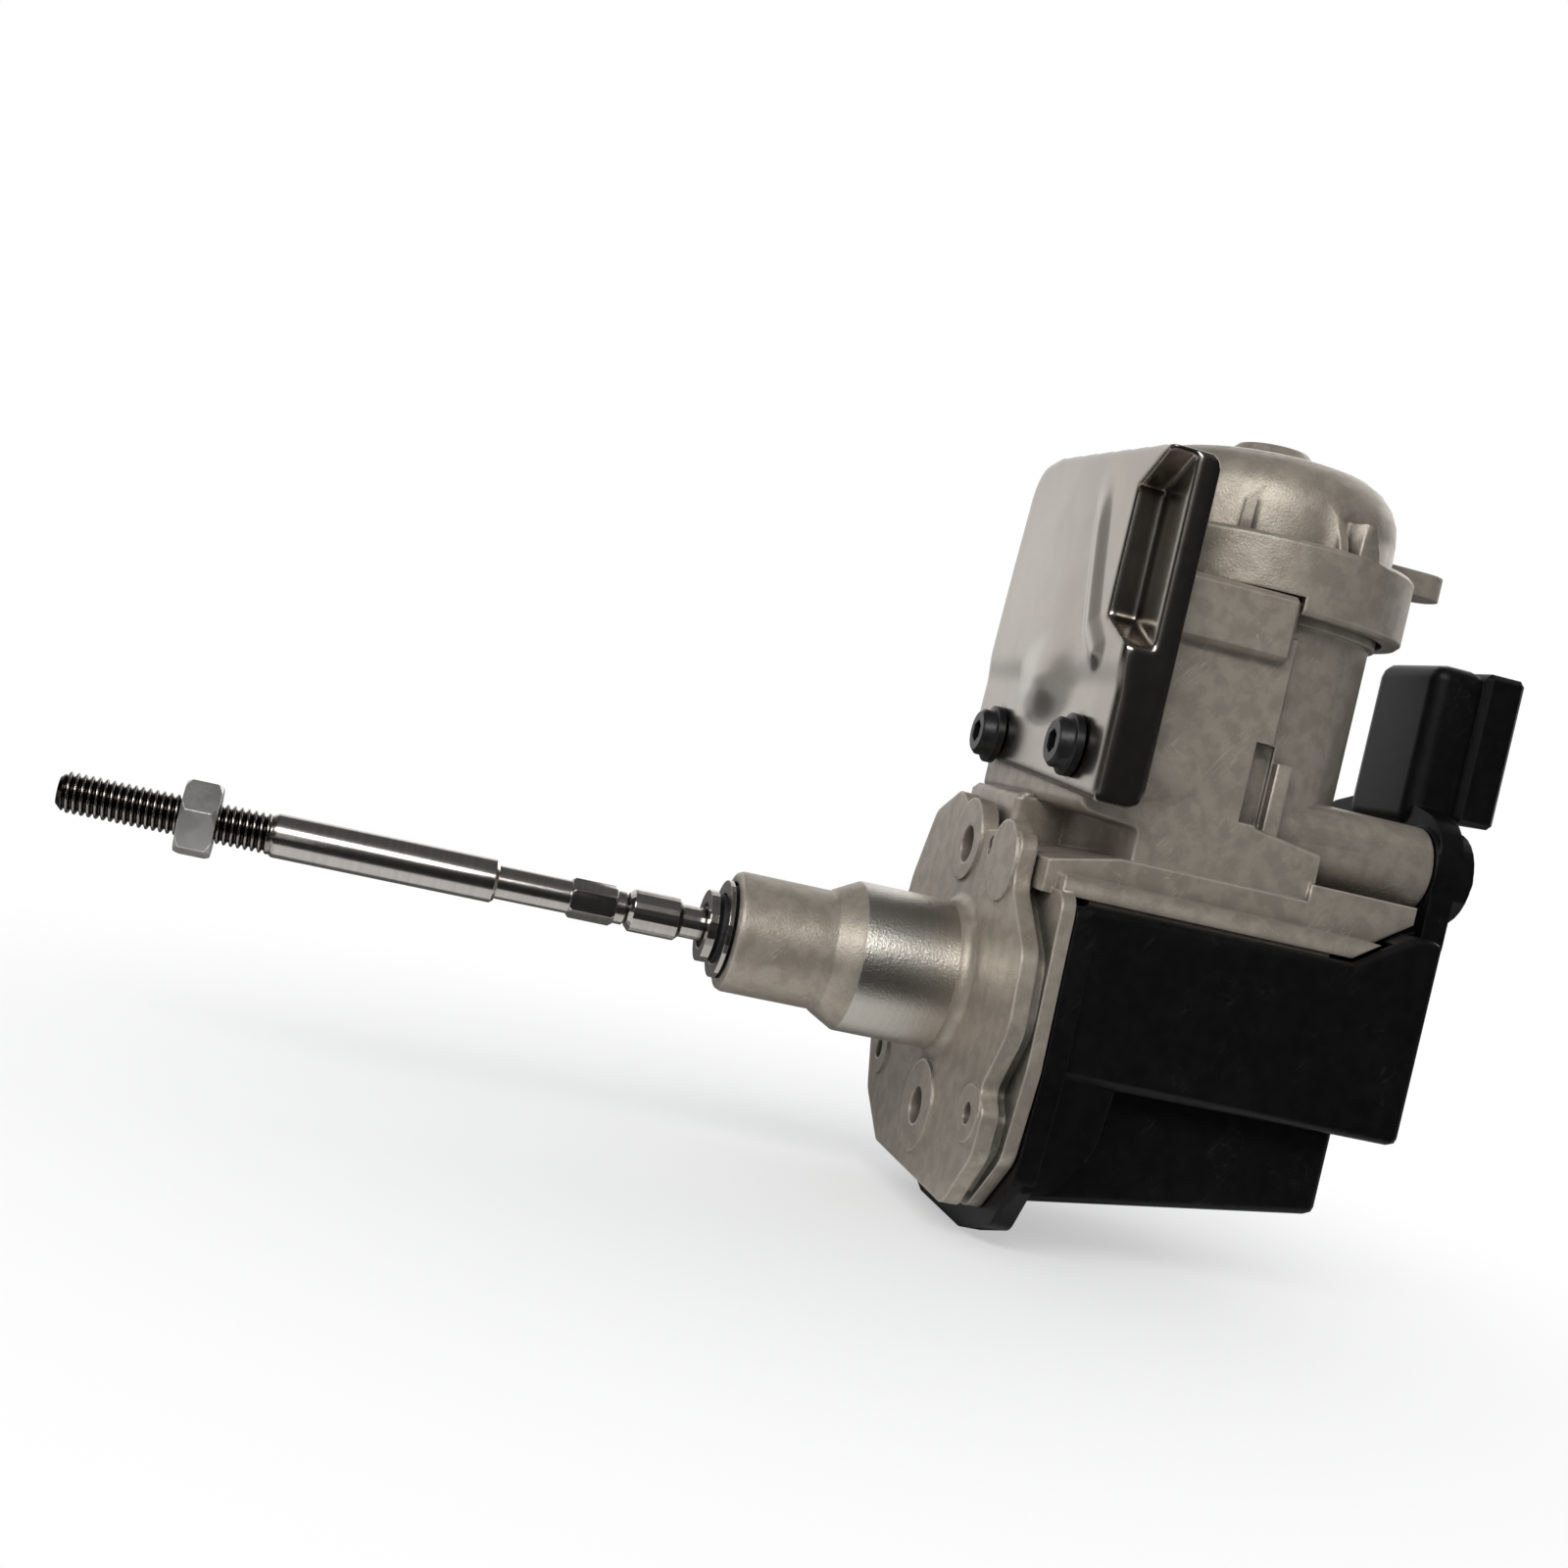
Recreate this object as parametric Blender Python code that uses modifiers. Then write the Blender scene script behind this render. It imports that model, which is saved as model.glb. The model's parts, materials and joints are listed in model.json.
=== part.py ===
"""Electric wastegate actuator for a turbocharger, modelled in metres with +Z up.

The push rod lies along X through the origin, which is where the rod's axis meets the
front face of the mounting flange. The rod points along -X, the motor stands along +Z.
A motor pinion drives a double gear, the double gear drives the output wheel, and the
pinion on the output shaft moves the rack that is cut into the inner end of the rod.
"""
import bpy
import bmesh
from math import atan2, cos, hypot, pi, radians, sin, sqrt, tan
from mathutils import Matrix, Vector

# Clearances
SEAT_GAP = 0.0003       # between pieces that sit against each other
SLIDE_GAP = 0.00008     # round the sliding rod and the turning shafts
BACKLASH = 0.00026      # play between the flanks of meshing teeth

# Push rod, outer piece: thread, shank, neck and hexagon
COUPLING_REAR_X = -0.0430
COUPLING_LENGTH = 0.0083
COUPLING_R = 0.00325
SPINDLE_R = 0.0025
TAIL_NECK_LENGTH = 0.0018
HEX_LENGTH = 0.0069
HEX_FLATS = 0.0053
NECK_LENGTH = 0.0111
NECK_R = 0.0025
SHANK_LENGTH = 0.0333
SHANK_R = 0.00325
THREAD_LENGTH = 0.0298
THREAD_R = 0.0029
STUD_R = 0.0014
STUD_LENGTH = 0.0060
NUT_FLATS = 0.010
NUT_HEIGHT = 0.0052
NUT_FROM_TIP = 0.0196

# Push rod, inner piece: rack bar and magnet carrier
RACK_START_X = 0.0155
RACK_LENGTH = 0.0270
RACK_HALF_HEIGHT = 0.0038
RACK_BACK_Y = -0.0040
RACK_PITCH_Y = 0.0042
RACK_TEETH = 7
ROD_TAIL_R = 0.0026
ROD_TAIL_LENGTH = 0.0095
MAGNET_LENGTH = 0.0070

# Nose and mounting flange
NOSE_R = 0.00925
NOSE_LENGTH = 0.0358
NOSE_EDGE = 0.0010
PILOT_R = 0.01165
PILOT_LENGTH = 0.0165
CONE_LENGTH = 0.0038
FOOT_R = 0.0135
PLATE_T = 0.0026
GROOVE_T = 0.0020
GROOVE_DEPTH = 0.0022
RIM_T = 0.0022
FACE_BOSS_T = 0.0005
FIXING_HOLE_R = 0.0030
SMALL_HOLE_R = 0.0016
BUSH_R = 0.0048
BUSH_LENGTH = 0.0110
SEAL_R = 0.0072
SEAL_LENGTH = 0.0034

# Motor housing
MOTOR_X = 0.0330
BARREL_R = 0.0212
MOTOR_BORE_R = 0.0188
SHELF_BOTTOM_Z = 0.0172
RIM_BAND = 0.0028
SHELF_HALF_WIDTH = 0.0276
SHELF_TOP_HALF_WIDTH = 0.0246
RISE_START_X = 0.0512
RISE_END_X = 0.0616
RISE_END_Z = 0.0242
MOTOR_FLOOR_Z = 0.0256
WALL_HALF_WIDTH = 0.0239
WALL_END_X = 0.0335
SLOT_X = 0.0306
PAD_END_X = 0.0318
WALL_TOP_Z = 0.0575
PAD_HALF_WIDTH = 0.0262
PAD_TOP_Z = 0.0672
SPIGOT_R = 0.0230
SPIGOT_TOP_Z = 0.0715
LUG_R = 0.0068
LUG_Y = 0.0145
LUG_Z = 0.0322
LUG_END_X = 0.0645

# Motor end cap
CAP_R = 0.0257
CAP_SKIRT_Z = 0.0650
CAP_RING_TOP_Z = 0.0756
CAP_WALL = 0.0024
DOME_R = 0.0216
CAP_TOP_Z = 0.0920
CAP_BOSS_R = 0.0064

# Heat shield
SHIELD_X = 0.0052
SHIELD_SHEET = 0.0008
SHIELD_NEAR_Y = -0.0308
SHIELD_FAR_Y = 0.0325
SHIELD_TOP_Z = 0.0845
SHIELD_BOTTOM_Z = 0.0310
SHIELD_RETURN = 0.0080
SHIELD_SCREW_Y = 0.0186
SHIELD_SCREW_Z = 0.0388
SHIELD_SCREW_R = 0.0047
BOSS_Y = 0.0204
BOSS_R = 0.0062
RECESS_Y = -0.0213
RECESS_DEPTH = 0.0038
RECESS_LOW_Z = 0.0583
RECESS_HIGH_Z = 0.0777

# Gear cover
COVER_WALL = 0.0022
COVER_HALF_WIDTH = 0.0300
COVER_REAR_X = 0.0645
COVER_TOP_Z = 0.0226
COVER_STEP_Z = -0.0085
SUMP_HALF_WIDTH = 0.0240
SUMP_REAR_X = 0.0572
SUMP_FRONT_Z = -0.0284
SUMP_REAR_Z = -0.0218
TOWER_HALF_WIDTH = 0.0190
TOWER_X = 0.0686
SCREW_BOSS_R = 0.0073
SCREW_BOSS_X = 0.0712
COVER_RIM_T = 0.0034

# Connector, opening along +X
PLUG_X = 0.0642
PLUG_END_X = 0.0795
PLUG_HALF_WIDTH = 0.0100
PLUG_BOTTOM_Z = 0.0412
PLUG_TOP_Z = 0.0652
PLUG_WALL = 0.0021
PIN_COUNT = 5
PIN_SIZE = 0.0010

# Gear train: teeth, modules and layers
PRESSURE = radians(25)
MOTOR_TEETH = 12
WHEEL_TEETH = 40
FIRST_MODULE = 0.0006
INNER_TEETH = 12
OUTPUT_TEETH = 32
SECOND_MODULE = 0.0008
RACK_PINION_TEETH = 12
RACK_MODULE = 0.0010
OUTPUT_X = 0.0220
FIRST_LAYER_Z = 0.0110
FIRST_WIDTH = 0.0028
SECOND_LAYER_Z = 0.0068
SECOND_WIDTH = 0.0030
MOTOR_SHAFT_R = 0.0016
OUTPUT_SHAFT_R = 0.0026
IDLER_PIN_R = 0.0016
BEARING_R = 0.0052

# Motor
CAN_R = 0.0185
CAN_WALL = 0.0011
CAN_BASE_Z = 0.0262
CAN_TOP_Z = 0.0690
ARMATURE_R = 0.0112
ARMATURE_LENGTH = 0.0200
ARMATURE_SLOTS = 7
COMMUTATOR_R = 0.0046

# Screws
SCREW_R = 0.0016
SCREW_HEAD_R = 0.0026
SCREW_HEAD_T = 0.0026

RIM_X = PLATE_T + GROOVE_T
COVER_X = RIM_X + RIM_T + SEAT_GAP
ALONG_X = Matrix.Rotation(radians(90), 4, 'Y')
PLANE_YZ = Matrix(((0, 0, 1, 0), (1, 0, 0, 0), (0, 1, 0, 0), (0, 0, 0, 1)))
PLANE_XZ = Matrix(((1, 0, 0, 0), (0, 0, -1, 0), (0, 1, 0, 0), (0, 0, 0, 1)))
PLANE_XY = Matrix.Identity(4)

FLANGE_OUTLINE = (
    (-0.0205, 0.0252, 0.003), (-0.0205, 0.0170, 0.004), (-0.0312, 0.0085, 0.005),
    (-0.0328, -0.0030, 0.006), (-0.0268, -0.0122, 0.002), (-0.0300, -0.0150, 0.002),
    (-0.0295, -0.0215, 0.004), (-0.0215, -0.0306, 0.003), (0.0170, -0.0302, 0.004),
    (0.0285, -0.0238, 0.005), (0.0345, -0.0140, 0.006), (0.0305, 0.0130, 0.007),
    (0.0250, 0.0245, 0.004), (0.0140, 0.0288, 0.003), (0.0000, 0.0235, 0.003))
RIM_OUTLINE = (
    (-0.0300, 0.0180, 0.003), (-0.0312, -0.0080, 0.006), (-0.0290, -0.0215, 0.005),
    (-0.0190, -0.0309, 0.004), (0.0170, -0.0309, 0.004), (0.0285, -0.0240, 0.005),
    (0.0318, -0.0140, 0.006), (0.0300, 0.0180, 0.003))
COVER_OUTLINE = (
    (-0.0300, 0.0165, 0.002), (-0.0312, -0.0080, 0.006), (-0.0295, -0.0240, 0.004),
    (-0.0238, -0.0322, 0.004), (-0.0115, -0.0356, 0.005), (0.0100, -0.0356, 0.005),
    (0.0230, -0.0312, 0.005), (0.0305, -0.0215, 0.005), (0.0318, -0.0140, 0.004),
    (0.0300, 0.0165, 0.002))
FIXING_HOLES = ((0.0036, 0.0207), (-0.0008, -0.0205))
COVER_SCREW_PLACES = ((0.0253, -0.0165), (-0.0250, -0.0163))
TOP_SMALL_HOLE = (-0.0071, 0.0214)


# Scene and materials

def clear_scene():
    for thing in list(bpy.data.objects):
        bpy.data.objects.remove(thing, do_unlink=True)


def new_collection(name):
    group = bpy.data.collections.new(name)
    bpy.context.scene.collection.children.link(group)
    return group


def material(name, colour, roughness, metallic):
    mat = bpy.data.materials.new(name)
    mat.use_nodes = True
    shader = mat.node_tree.nodes["Principled BSDF"]
    shader.inputs["Base Color"].default_value = (*colour, 1.0)
    shader.inputs["Roughness"].default_value = roughness
    shader.inputs["Metallic"].default_value = metallic
    return mat


def cast_metal(name):
    return material(name, (0.36, 0.33, 0.30), 0.48, 1.0)


def steel(name):
    return material(name, (0.55, 0.53, 0.50), 0.28, 1.0)


def black_plastic(name):
    return material(name, (0.012, 0.012, 0.014), 0.45, 0.0)


# Mesh helpers

def as_object(name, mesh):
    thing = bpy.data.objects.new(name, mesh)
    TOOLS.objects.link(thing)
    thing.hide_render = True
    thing.display_type = 'WIRE'
    return thing


def as_node(thing, name, mat, place=None):
    """Turns a finished shape into one of the part's own pieces."""
    thing.name = name
    thing.data.materials.clear()
    thing.data.materials.append(mat)
    for group in list(thing.users_collection):
        group.objects.unlink(thing)
    PARTS.objects.link(thing)
    thing.hide_render = False
    thing.display_type = 'TEXTURED'
    if place is not None:
        settle(thing, place)
    return thing


def settle(thing, place):
    """Gives a piece and the shapes that cut it the same moving parent."""
    thing.parent = place
    for mod in thing.modifiers:
        if mod.type == 'BOOLEAN':
            settle(mod.object, place)


def block(name, low, high, bevel=0.0, segments=2):
    bm = bmesh.new()
    bmesh.ops.create_cube(bm, size=1.0)
    size = [b - a for a, b in zip(low, high)]
    middle = [(a + b) / 2 for a, b in zip(low, high)]
    bmesh.ops.scale(bm, vec=size, verts=bm.verts)
    bmesh.ops.translate(bm, vec=middle, verts=bm.verts)
    mesh = bpy.data.meshes.new(name)
    bm.to_mesh(mesh)
    bm.free()
    thing = as_object(name, mesh)
    if bevel:
        add_bevel(thing, bevel, segments)
    return thing


def add_bevel(thing, width, segments=2, angle=40):
    mod = thing.modifiers.new("soft_edges", 'BEVEL')
    mod.width = width
    mod.segments = segments
    mod.limit_method = 'ANGLE'
    mod.angle_limit = radians(angle)
    return mod


def rod_solid(name, start, end, radius, end_radius=None, sides=32):
    """A cylinder or cone between two points."""
    start, end = Vector(start), Vector(end)
    along = end - start
    bm = bmesh.new()
    bmesh.ops.create_cone(bm, cap_ends=True, segments=sides, radius1=radius,
                          radius2=radius if end_radius is None else end_radius,
                          depth=along.length)
    turn = along.to_track_quat('Z', 'Y').to_matrix().to_4x4()
    bmesh.ops.transform(bm, matrix=Matrix.Translation((start + end) / 2) @ turn,
                        verts=bm.verts)
    mesh = bpy.data.meshes.new(name)
    bm.to_mesh(mesh)
    bm.free()
    return as_object(name, mesh)


def turned(name, profile, frame, sides=32, closed=False):
    """Turns a profile of (radius, height) points, given from the top down its outer side."""
    mesh = bpy.data.meshes.new(name)
    points = [(r, 0.0, h) for r, h in profile]
    edges = [(i, i + 1) for i in range(len(points) - 1)]
    if closed:
        edges.append((len(points) - 1, 0))
    mesh.from_pydata(points, edges, [])
    thing = as_object(name, mesh)
    thing.matrix_world = frame
    screw = thing.modifiers.new("turn", 'SCREW')
    screw.steps = sides
    screw.render_steps = sides
    screw.use_merge_vertices = True
    screw.merge_threshold = 0.00001
    screw.use_smooth_shade = True
    return thing


def fillet(before, corner, after, radius, steps=4):
    """Points of a round corner between two straight runs."""
    a, c, b = Vector(before), Vector(corner), Vector(after)
    to_a, to_b = (a - c), (b - c)
    half = to_a.angle(to_b) / 2
    reach = min(radius / tan(half), 0.49 * to_a.length, 0.49 * to_b.length)
    r = reach * tan(half)
    centre = c + (to_a.normalized() + to_b.normalized()).normalized() * (r / sin(half))
    first = c + to_a.normalized() * reach - centre
    last = c + to_b.normalized() * reach - centre
    start, sweep = atan2(first.y, first.x), first.angle_signed(last)
    return [(centre.x + r * cos(start - sweep * i / steps),
             centre.y + r * sin(start - sweep * i / steps)) for i in range(steps + 1)]


def rounded(outline, steps=4):
    """An outline of (x, y, corner radius) with its corners rounded."""
    points = []
    count = len(outline)
    for i, (x, y, radius) in enumerate(outline):
        before, after = outline[i - 1][:2], outline[(i + 1) % count][:2]
        if radius:
            points.extend(fillet(before, (x, y), after, radius, steps))
        else:
            points.append((x, y))
    return points


def offset(outline, distance):
    """Moves each edge of an outline inwards, keeping its corner radii."""
    result = []
    count = len(outline)
    area = sum(outline[i - 1][0] * outline[i][1] - outline[i][0] * outline[i - 1][1]
               for i in range(count))
    turn = 1 if area > 0 else -1
    for i, (x, y, radius) in enumerate(outline):
        into = (Vector((x, y)) - Vector(outline[i - 1][:2])).normalized()
        out = (Vector(outline[(i + 1) % count][:2]) - Vector((x, y))).normalized()
        n1, n2 = Vector((-into.y, into.x)) * turn, Vector((-out.y, out.x)) * turn
        middle = (n1 + n2).normalized()
        shift = middle * (distance / max(0.4, middle.dot(n1)))
        result.append((x + shift.x, y + shift.y, radius))
    return result


def extruded(name, points, start, end, plane):
    """A flat outline given thickness as a 2D curve, then made a welded mesh."""
    curve = bpy.data.curves.new(name, 'CURVE')
    curve.dimensions = '2D'
    curve.fill_mode = 'BOTH'
    curve.extrude = (end - start) / 2
    spline = curve.splines.new('POLY')
    spline.points.add(len(points) - 1)
    for point, (x, y) in zip(spline.points, points):
        point.co = (x, y, 0.0, 1.0)
    spline.use_cyclic_u = True
    guide = bpy.data.objects.new(name + "_outline", curve)
    TOOLS.objects.link(guide)
    bpy.context.view_layer.update()
    ready = guide.evaluated_get(bpy.context.evaluated_depsgraph_get())
    mesh = bpy.data.meshes.new_from_object(ready)
    bpy.data.objects.remove(guide, do_unlink=True)
    bm = bmesh.new()
    bm.from_mesh(mesh)
    bmesh.ops.remove_doubles(bm, verts=bm.verts, dist=0.000001)
    bmesh.ops.dissolve_limit(bm, angle_limit=0.001, verts=bm.verts, edges=bm.edges)
    bmesh.ops.translate(bm, vec=(0, 0, (start + end) / 2), verts=bm.verts)
    bmesh.ops.transform(bm, matrix=plane, verts=bm.verts)
    bmesh.ops.recalc_face_normals(bm, faces=bm.faces)
    bm.to_mesh(mesh)
    bm.free()
    mesh.name = name
    return as_object(name, mesh)


def combine(thing, operation, tools):
    for tool in tools:
        mod = thing.modifiers.new(operation.lower() + "_" + tool.name, 'BOOLEAN')
        mod.operation = operation
        mod.solver = 'EXACT'
        mod.object = tool
    return thing


def join(thing, *tools):
    return combine(thing, 'UNION', tools)


def cut(thing, *tools):
    return combine(thing, 'DIFFERENCE', tools)


def empty(name, place):
    pivot = bpy.data.objects.new(name, None)
    pivot.empty_display_size = 0.01
    pivot.location = place
    PARTS.objects.link(pivot)
    return pivot


# Gears

def gear_outline(teeth, module, phase, steps=3):
    """Involute teeth, one of them centred on the angle given by phase."""
    pitch_r = teeth * module / 2
    base_r = pitch_r * cos(PRESSURE)
    tip_r = pitch_r + 0.90 * module
    root_r = pitch_r - 1.20 * module
    half_tooth = (pi * module / 2 - BACKLASH) / (2 * pitch_r)
    inv = tan(PRESSURE) - PRESSURE
    foot_r = max(base_r, root_r + 0.0001)
    flank = []
    for i in range(steps + 1):
        r = foot_r + (tip_r - foot_r) * i / steps
        roll = sqrt(max((r / base_r) ** 2 - 1, 0.0))
        flank.append((r, half_tooth + inv - (roll - atan2(roll, 1))))
    points = []
    for tooth in range(teeth):
        centre = phase + 2 * pi * tooth / teeth
        side = [(root_r, flank[0][1])] + flank
        for r, a in side:
            points.append((r * cos(centre - a), r * sin(centre - a)))
        for r, a in reversed(side):
            points.append((r * cos(centre + a), r * sin(centre + a)))
    return points


def gear_places():
    """Centres of the idler and output shafts, from the centre distances."""
    first = (MOTOR_TEETH + WHEEL_TEETH) * FIRST_MODULE / 2
    second = (INNER_TEETH + OUTPUT_TEETH) * SECOND_MODULE / 2
    motor = Vector((MOTOR_X, 0.0))
    output = Vector((OUTPUT_X, RACK_PITCH_Y + RACK_PINION_TEETH * RACK_MODULE / 2))
    across = output - motor
    gap = across.length
    reach = (first ** 2 - second ** 2 + gap ** 2) / (2 * gap)
    rise = sqrt(first ** 2 - reach ** 2)
    unit = across / gap
    idler = motor + unit * reach + Vector((unit.y, -unit.x)) * rise
    return motor, idler, output


def angle_to(a, b):
    return atan2(b.y - a.y, b.x - a.x)


def gear_solid(name, teeth, module, phase, low, high):
    return extruded(name, gear_outline(teeth, module, phase), low, high, PLANE_XY)


def motor_pinion(place, motor, idler):
    phase = angle_to(motor, idler)
    low, high = FIRST_LAYER_Z - 0.0004, FIRST_LAYER_Z + FIRST_WIDTH + 0.0010
    gear = gear_solid("motor_pinion", MOTOR_TEETH, FIRST_MODULE, phase, low, high)
    bore = rod_solid("pinion_bore", (0, 0, low - 0.001), (0, 0, high + 0.001),
                     MOTOR_SHAFT_R + SLIDE_GAP, sides=20)
    cut(gear, bore)
    return as_node(gear, "motor_pinion", steel("pinion_steel"), place)


def intermediate_gear(place, motor, idler, output):
    phase = angle_to(idler, motor) + pi / WHEEL_TEETH
    low, high = FIRST_LAYER_Z, FIRST_LAYER_Z + FIRST_WIDTH
    wheel = gear_solid("intermediate_gear", WHEEL_TEETH, FIRST_MODULE, phase, low, high)
    inner = gear_solid("inner_teeth", INNER_TEETH, SECOND_MODULE, angle_to(idler, output),
                       SECOND_LAYER_Z - 0.0004, low + FIRST_WIDTH / 2)
    recess_out, recess_in = 0.80 * WHEEL_TEETH * FIRST_MODULE / 2, 0.0062
    web = turned("web_recess", [(recess_out, high + 0.001), (recess_out, high - 0.0009),
                                (recess_in, high - 0.0009), (recess_in, high + 0.001)],
                 Matrix.Identity(4), 32, closed=True)
    bore = rod_solid("idler_bore", (0, 0, 0), (0, 0, 0.03), IDLER_PIN_R + SLIDE_GAP, sides=20)
    join(wheel, inner)
    cut(wheel, web, bore)
    return as_node(wheel, "intermediate_gear", material("gear_polymer", (0.62, 0.58, 0.47), 0.5, 0),
                   place)


def output_wheel(place, idler, output):
    phase = angle_to(output, idler) + pi / OUTPUT_TEETH
    low, high = SECOND_LAYER_Z, SECOND_LAYER_Z + SECOND_WIDTH
    wheel = gear_solid("output_wheel", OUTPUT_TEETH, SECOND_MODULE, phase, low, high)
    bore = rod_solid("wheel_bore", (0, 0, 0), (0, 0, 0.03), OUTPUT_SHAFT_R + SEAT_GAP, sides=24)
    windows = []
    for i in range(5):
        a = 2 * pi * i / 5
        spot = (0.0076 * cos(a), 0.0076 * sin(a))
        windows.append(rod_solid("wheel_window_%d" % i, (*spot, 0), (*spot, 0.03), 0.0021,
                                 sides=12))
    cut(wheel, bore, *windows)
    return as_node(wheel, "output_wheel", material("wheel_polymer", (0.60, 0.56, 0.45), 0.5, 0),
                   place)


def output_shaft(place):
    """Steel shaft with the rack pinion cut on it."""
    face = RACK_HALF_HEIGHT + 0.0004
    gear = gear_solid("output_shaft", RACK_PINION_TEETH, RACK_MODULE, -pi / 2, -face, face)
    shaft = rod_solid("shaft_bar", (0, 0, -0.0130), (0, 0, SHELF_BOTTOM_Z + 0.0052),
                      OUTPUT_SHAFT_R, sides=24)
    collar = rod_solid("shaft_collar", (0, 0, 0), (0, 0, SECOND_LAYER_Z - SEAT_GAP), 0.0046,
                       sides=24)
    join(gear, shaft, collar)
    return as_node(gear, "output_shaft", steel("shaft_steel"), place)


def rack_outline():
    """Back, ends and straight-sided teeth of the rack, with a gap facing the pinion."""
    pitch = pi * RACK_MODULE
    end = RACK_START_X + RACK_LENGTH
    tip, root = RACK_PITCH_Y + 0.90 * RACK_MODULE, RACK_PITCH_Y - 1.20 * RACK_MODULE
    half = (pitch / 2 - BACKLASH) / 2
    points = [(RACK_START_X, RACK_BACK_Y), (end, RACK_BACK_Y), (end, tip)]
    first = OUTPUT_X - 1.5 * pitch
    for i in reversed(range(RACK_TEETH)):
        centre = first + i * pitch
        slope = tan(PRESSURE)
        low, high = half + 1.20 * RACK_MODULE * slope, half - 0.90 * RACK_MODULE * slope
        if i == RACK_TEETH - 1:
            points.append((centre + pitch - high, tip))
            points.append((centre + pitch - low, root))
        points.append((centre + low, root))
        points.append((centre + high, tip))
        points.append((centre - high, tip))
        points.append((centre - low, root))
    points.append((first - pitch + low, root))
    points.append((first - pitch + high, tip))
    points.append((RACK_START_X, tip))
    return points


def rack_rod(place):
    bar = extruded("rack_rod", rack_outline(), -RACK_HALF_HEIGHT, RACK_HALF_HEIGHT, PLANE_XY)
    front = COUPLING_REAR_X - COUPLING_LENGTH
    chamfer = 0.0007
    spindle = turned("spindle", [
        (0, RACK_START_X + 0.002), (SPINDLE_R, RACK_START_X + 0.002), (SPINDLE_R, COUPLING_REAR_X),
        (COUPLING_R - chamfer, COUPLING_REAR_X), (COUPLING_R, COUPLING_REAR_X - chamfer),
        (COUPLING_R, front + chamfer), (COUPLING_R - chamfer, front), (STUD_R, front),
        (STUD_R, front - STUD_LENGTH), (0, front - STUD_LENGTH)], ALONG_X, 24)
    rear = RACK_START_X + RACK_LENGTH
    tail = rod_solid("rod_tail", (rear - 0.002, 0, 0), (rear + ROD_TAIL_LENGTH, 0, 0), ROD_TAIL_R,
                     sides=24)
    join(bar, spindle, tail)
    return as_node(bar, "rack_rod", steel("rack_steel"), place)


def adjusting_rod(place):
    """Outer rod, from its threaded tip to the hexagon that a spanner holds."""
    rear = COUPLING_REAR_X - COUPLING_LENGTH - SEAT_GAP / 2
    hex_rear = rear - TAIL_NECK_LENGTH
    hex_front = hex_rear - HEX_LENGTH
    neck_front = hex_front - NECK_LENGTH
    shank_front = neck_front - SHANK_LENGTH
    tip = shank_front - THREAD_LENGTH
    edge = 0.0005
    bar = turned("adjusting_rod", [
        (0, rear), (NECK_R - edge, rear), (NECK_R, rear - edge), (NECK_R, neck_front),
        (SHANK_R - edge, neck_front), (SHANK_R, neck_front - edge), (SHANK_R, shank_front + edge),
        (THREAD_R, shank_front), (THREAD_R, tip + 0.0010), (THREAD_R - 0.0009, tip), (0, tip)],
        ALONG_X, 24)
    corner = HEX_FLATS / sqrt(3)
    flats = rod_solid("hexagon", (hex_front, 0, 0), (hex_rear, 0, 0), corner, sides=6)
    socket = rod_solid("stud_socket", (rear - STUD_LENGTH - 0.0005, 0, 0), (rear + 0.001, 0, 0),
                       STUD_R + SLIDE_GAP, sides=20)
    join(bar, flats)
    cut(bar, socket)
    return as_node(bar, "adjusting_rod", steel("rod_steel"), place), tip


def lock_nut(place, tip):
    x = tip + NUT_FROM_TIP
    corner = NUT_FLATS / sqrt(3)
    nut = rod_solid("lock_nut", (x - NUT_HEIGHT / 2, 0, 0), (x + NUT_HEIGHT / 2, 0, 0), corner,
                    sides=6)
    turn = Matrix.Rotation(radians(14.5), 4, 'X')
    nut.data.transform(turn)
    edge = 0.0011
    round_off = turned("nut_chamfer", [
        (0, x + NUT_HEIGHT), (corner - edge - 0.0006, x + NUT_HEIGHT),
        (corner - edge * 0.6, x + NUT_HEIGHT / 2), (corner + 0.0003, x + NUT_HEIGHT / 2 - edge),
        (corner + 0.0003, x - NUT_HEIGHT / 2 + edge), (corner - edge * 0.6, x - NUT_HEIGHT / 2),
        (corner - edge - 0.0006, x - NUT_HEIGHT), (0, x - NUT_HEIGHT)], ALONG_X, 36)
    combine(nut, 'INTERSECT', [round_off])
    bore = rod_solid("nut_bore", (x - 0.01, 0, 0), (x + 0.01, 0, 0), THREAD_R + SEAT_GAP, sides=24)
    cut(nut, bore)
    return as_node(nut, "lock_nut", material("nut_zinc", (0.60, 0.59, 0.57), 0.38, 1), place)


def magnet_carrier(place):
    """Plastic carrier on the rod's inner end, with the magnet the sensor reads."""
    rear = RACK_START_X + RACK_LENGTH + ROD_TAIL_LENGTH
    front = rear - MAGNET_LENGTH
    body = block("magnet_holder", (front, -0.0075, -0.0040), (rear + 0.0012, 0.0042, 0.0040),
                 0.0006, 1)
    bore = rod_solid("carrier_bore", (front - 0.001, 0, 0), (rear + SEAT_GAP, 0, 0),
                     ROD_TAIL_R + SEAT_GAP, sides=24)
    pocket = block("magnet_pocket", (front + 0.0012, -0.0100, -0.0028),
                   (rear - 0.0002, -0.0046, 0.0028))
    cut(body, bore, pocket)
    as_node(body, "magnet_holder", black_plastic("holder_plastic"), place)
    magnet = block("position_magnet", (front + 0.0012 + SEAT_GAP, -0.0072, -0.0028 + SEAT_GAP),
                   (rear - 0.0002 - SEAT_GAP, -0.0046 - SEAT_GAP, 0.0028 - SEAT_GAP))
    as_node(magnet, "position_magnet", material("magnet_ferrite", (0.10, 0.10, 0.11), 0.4, 0.8),
            place)


# Housing

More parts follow.
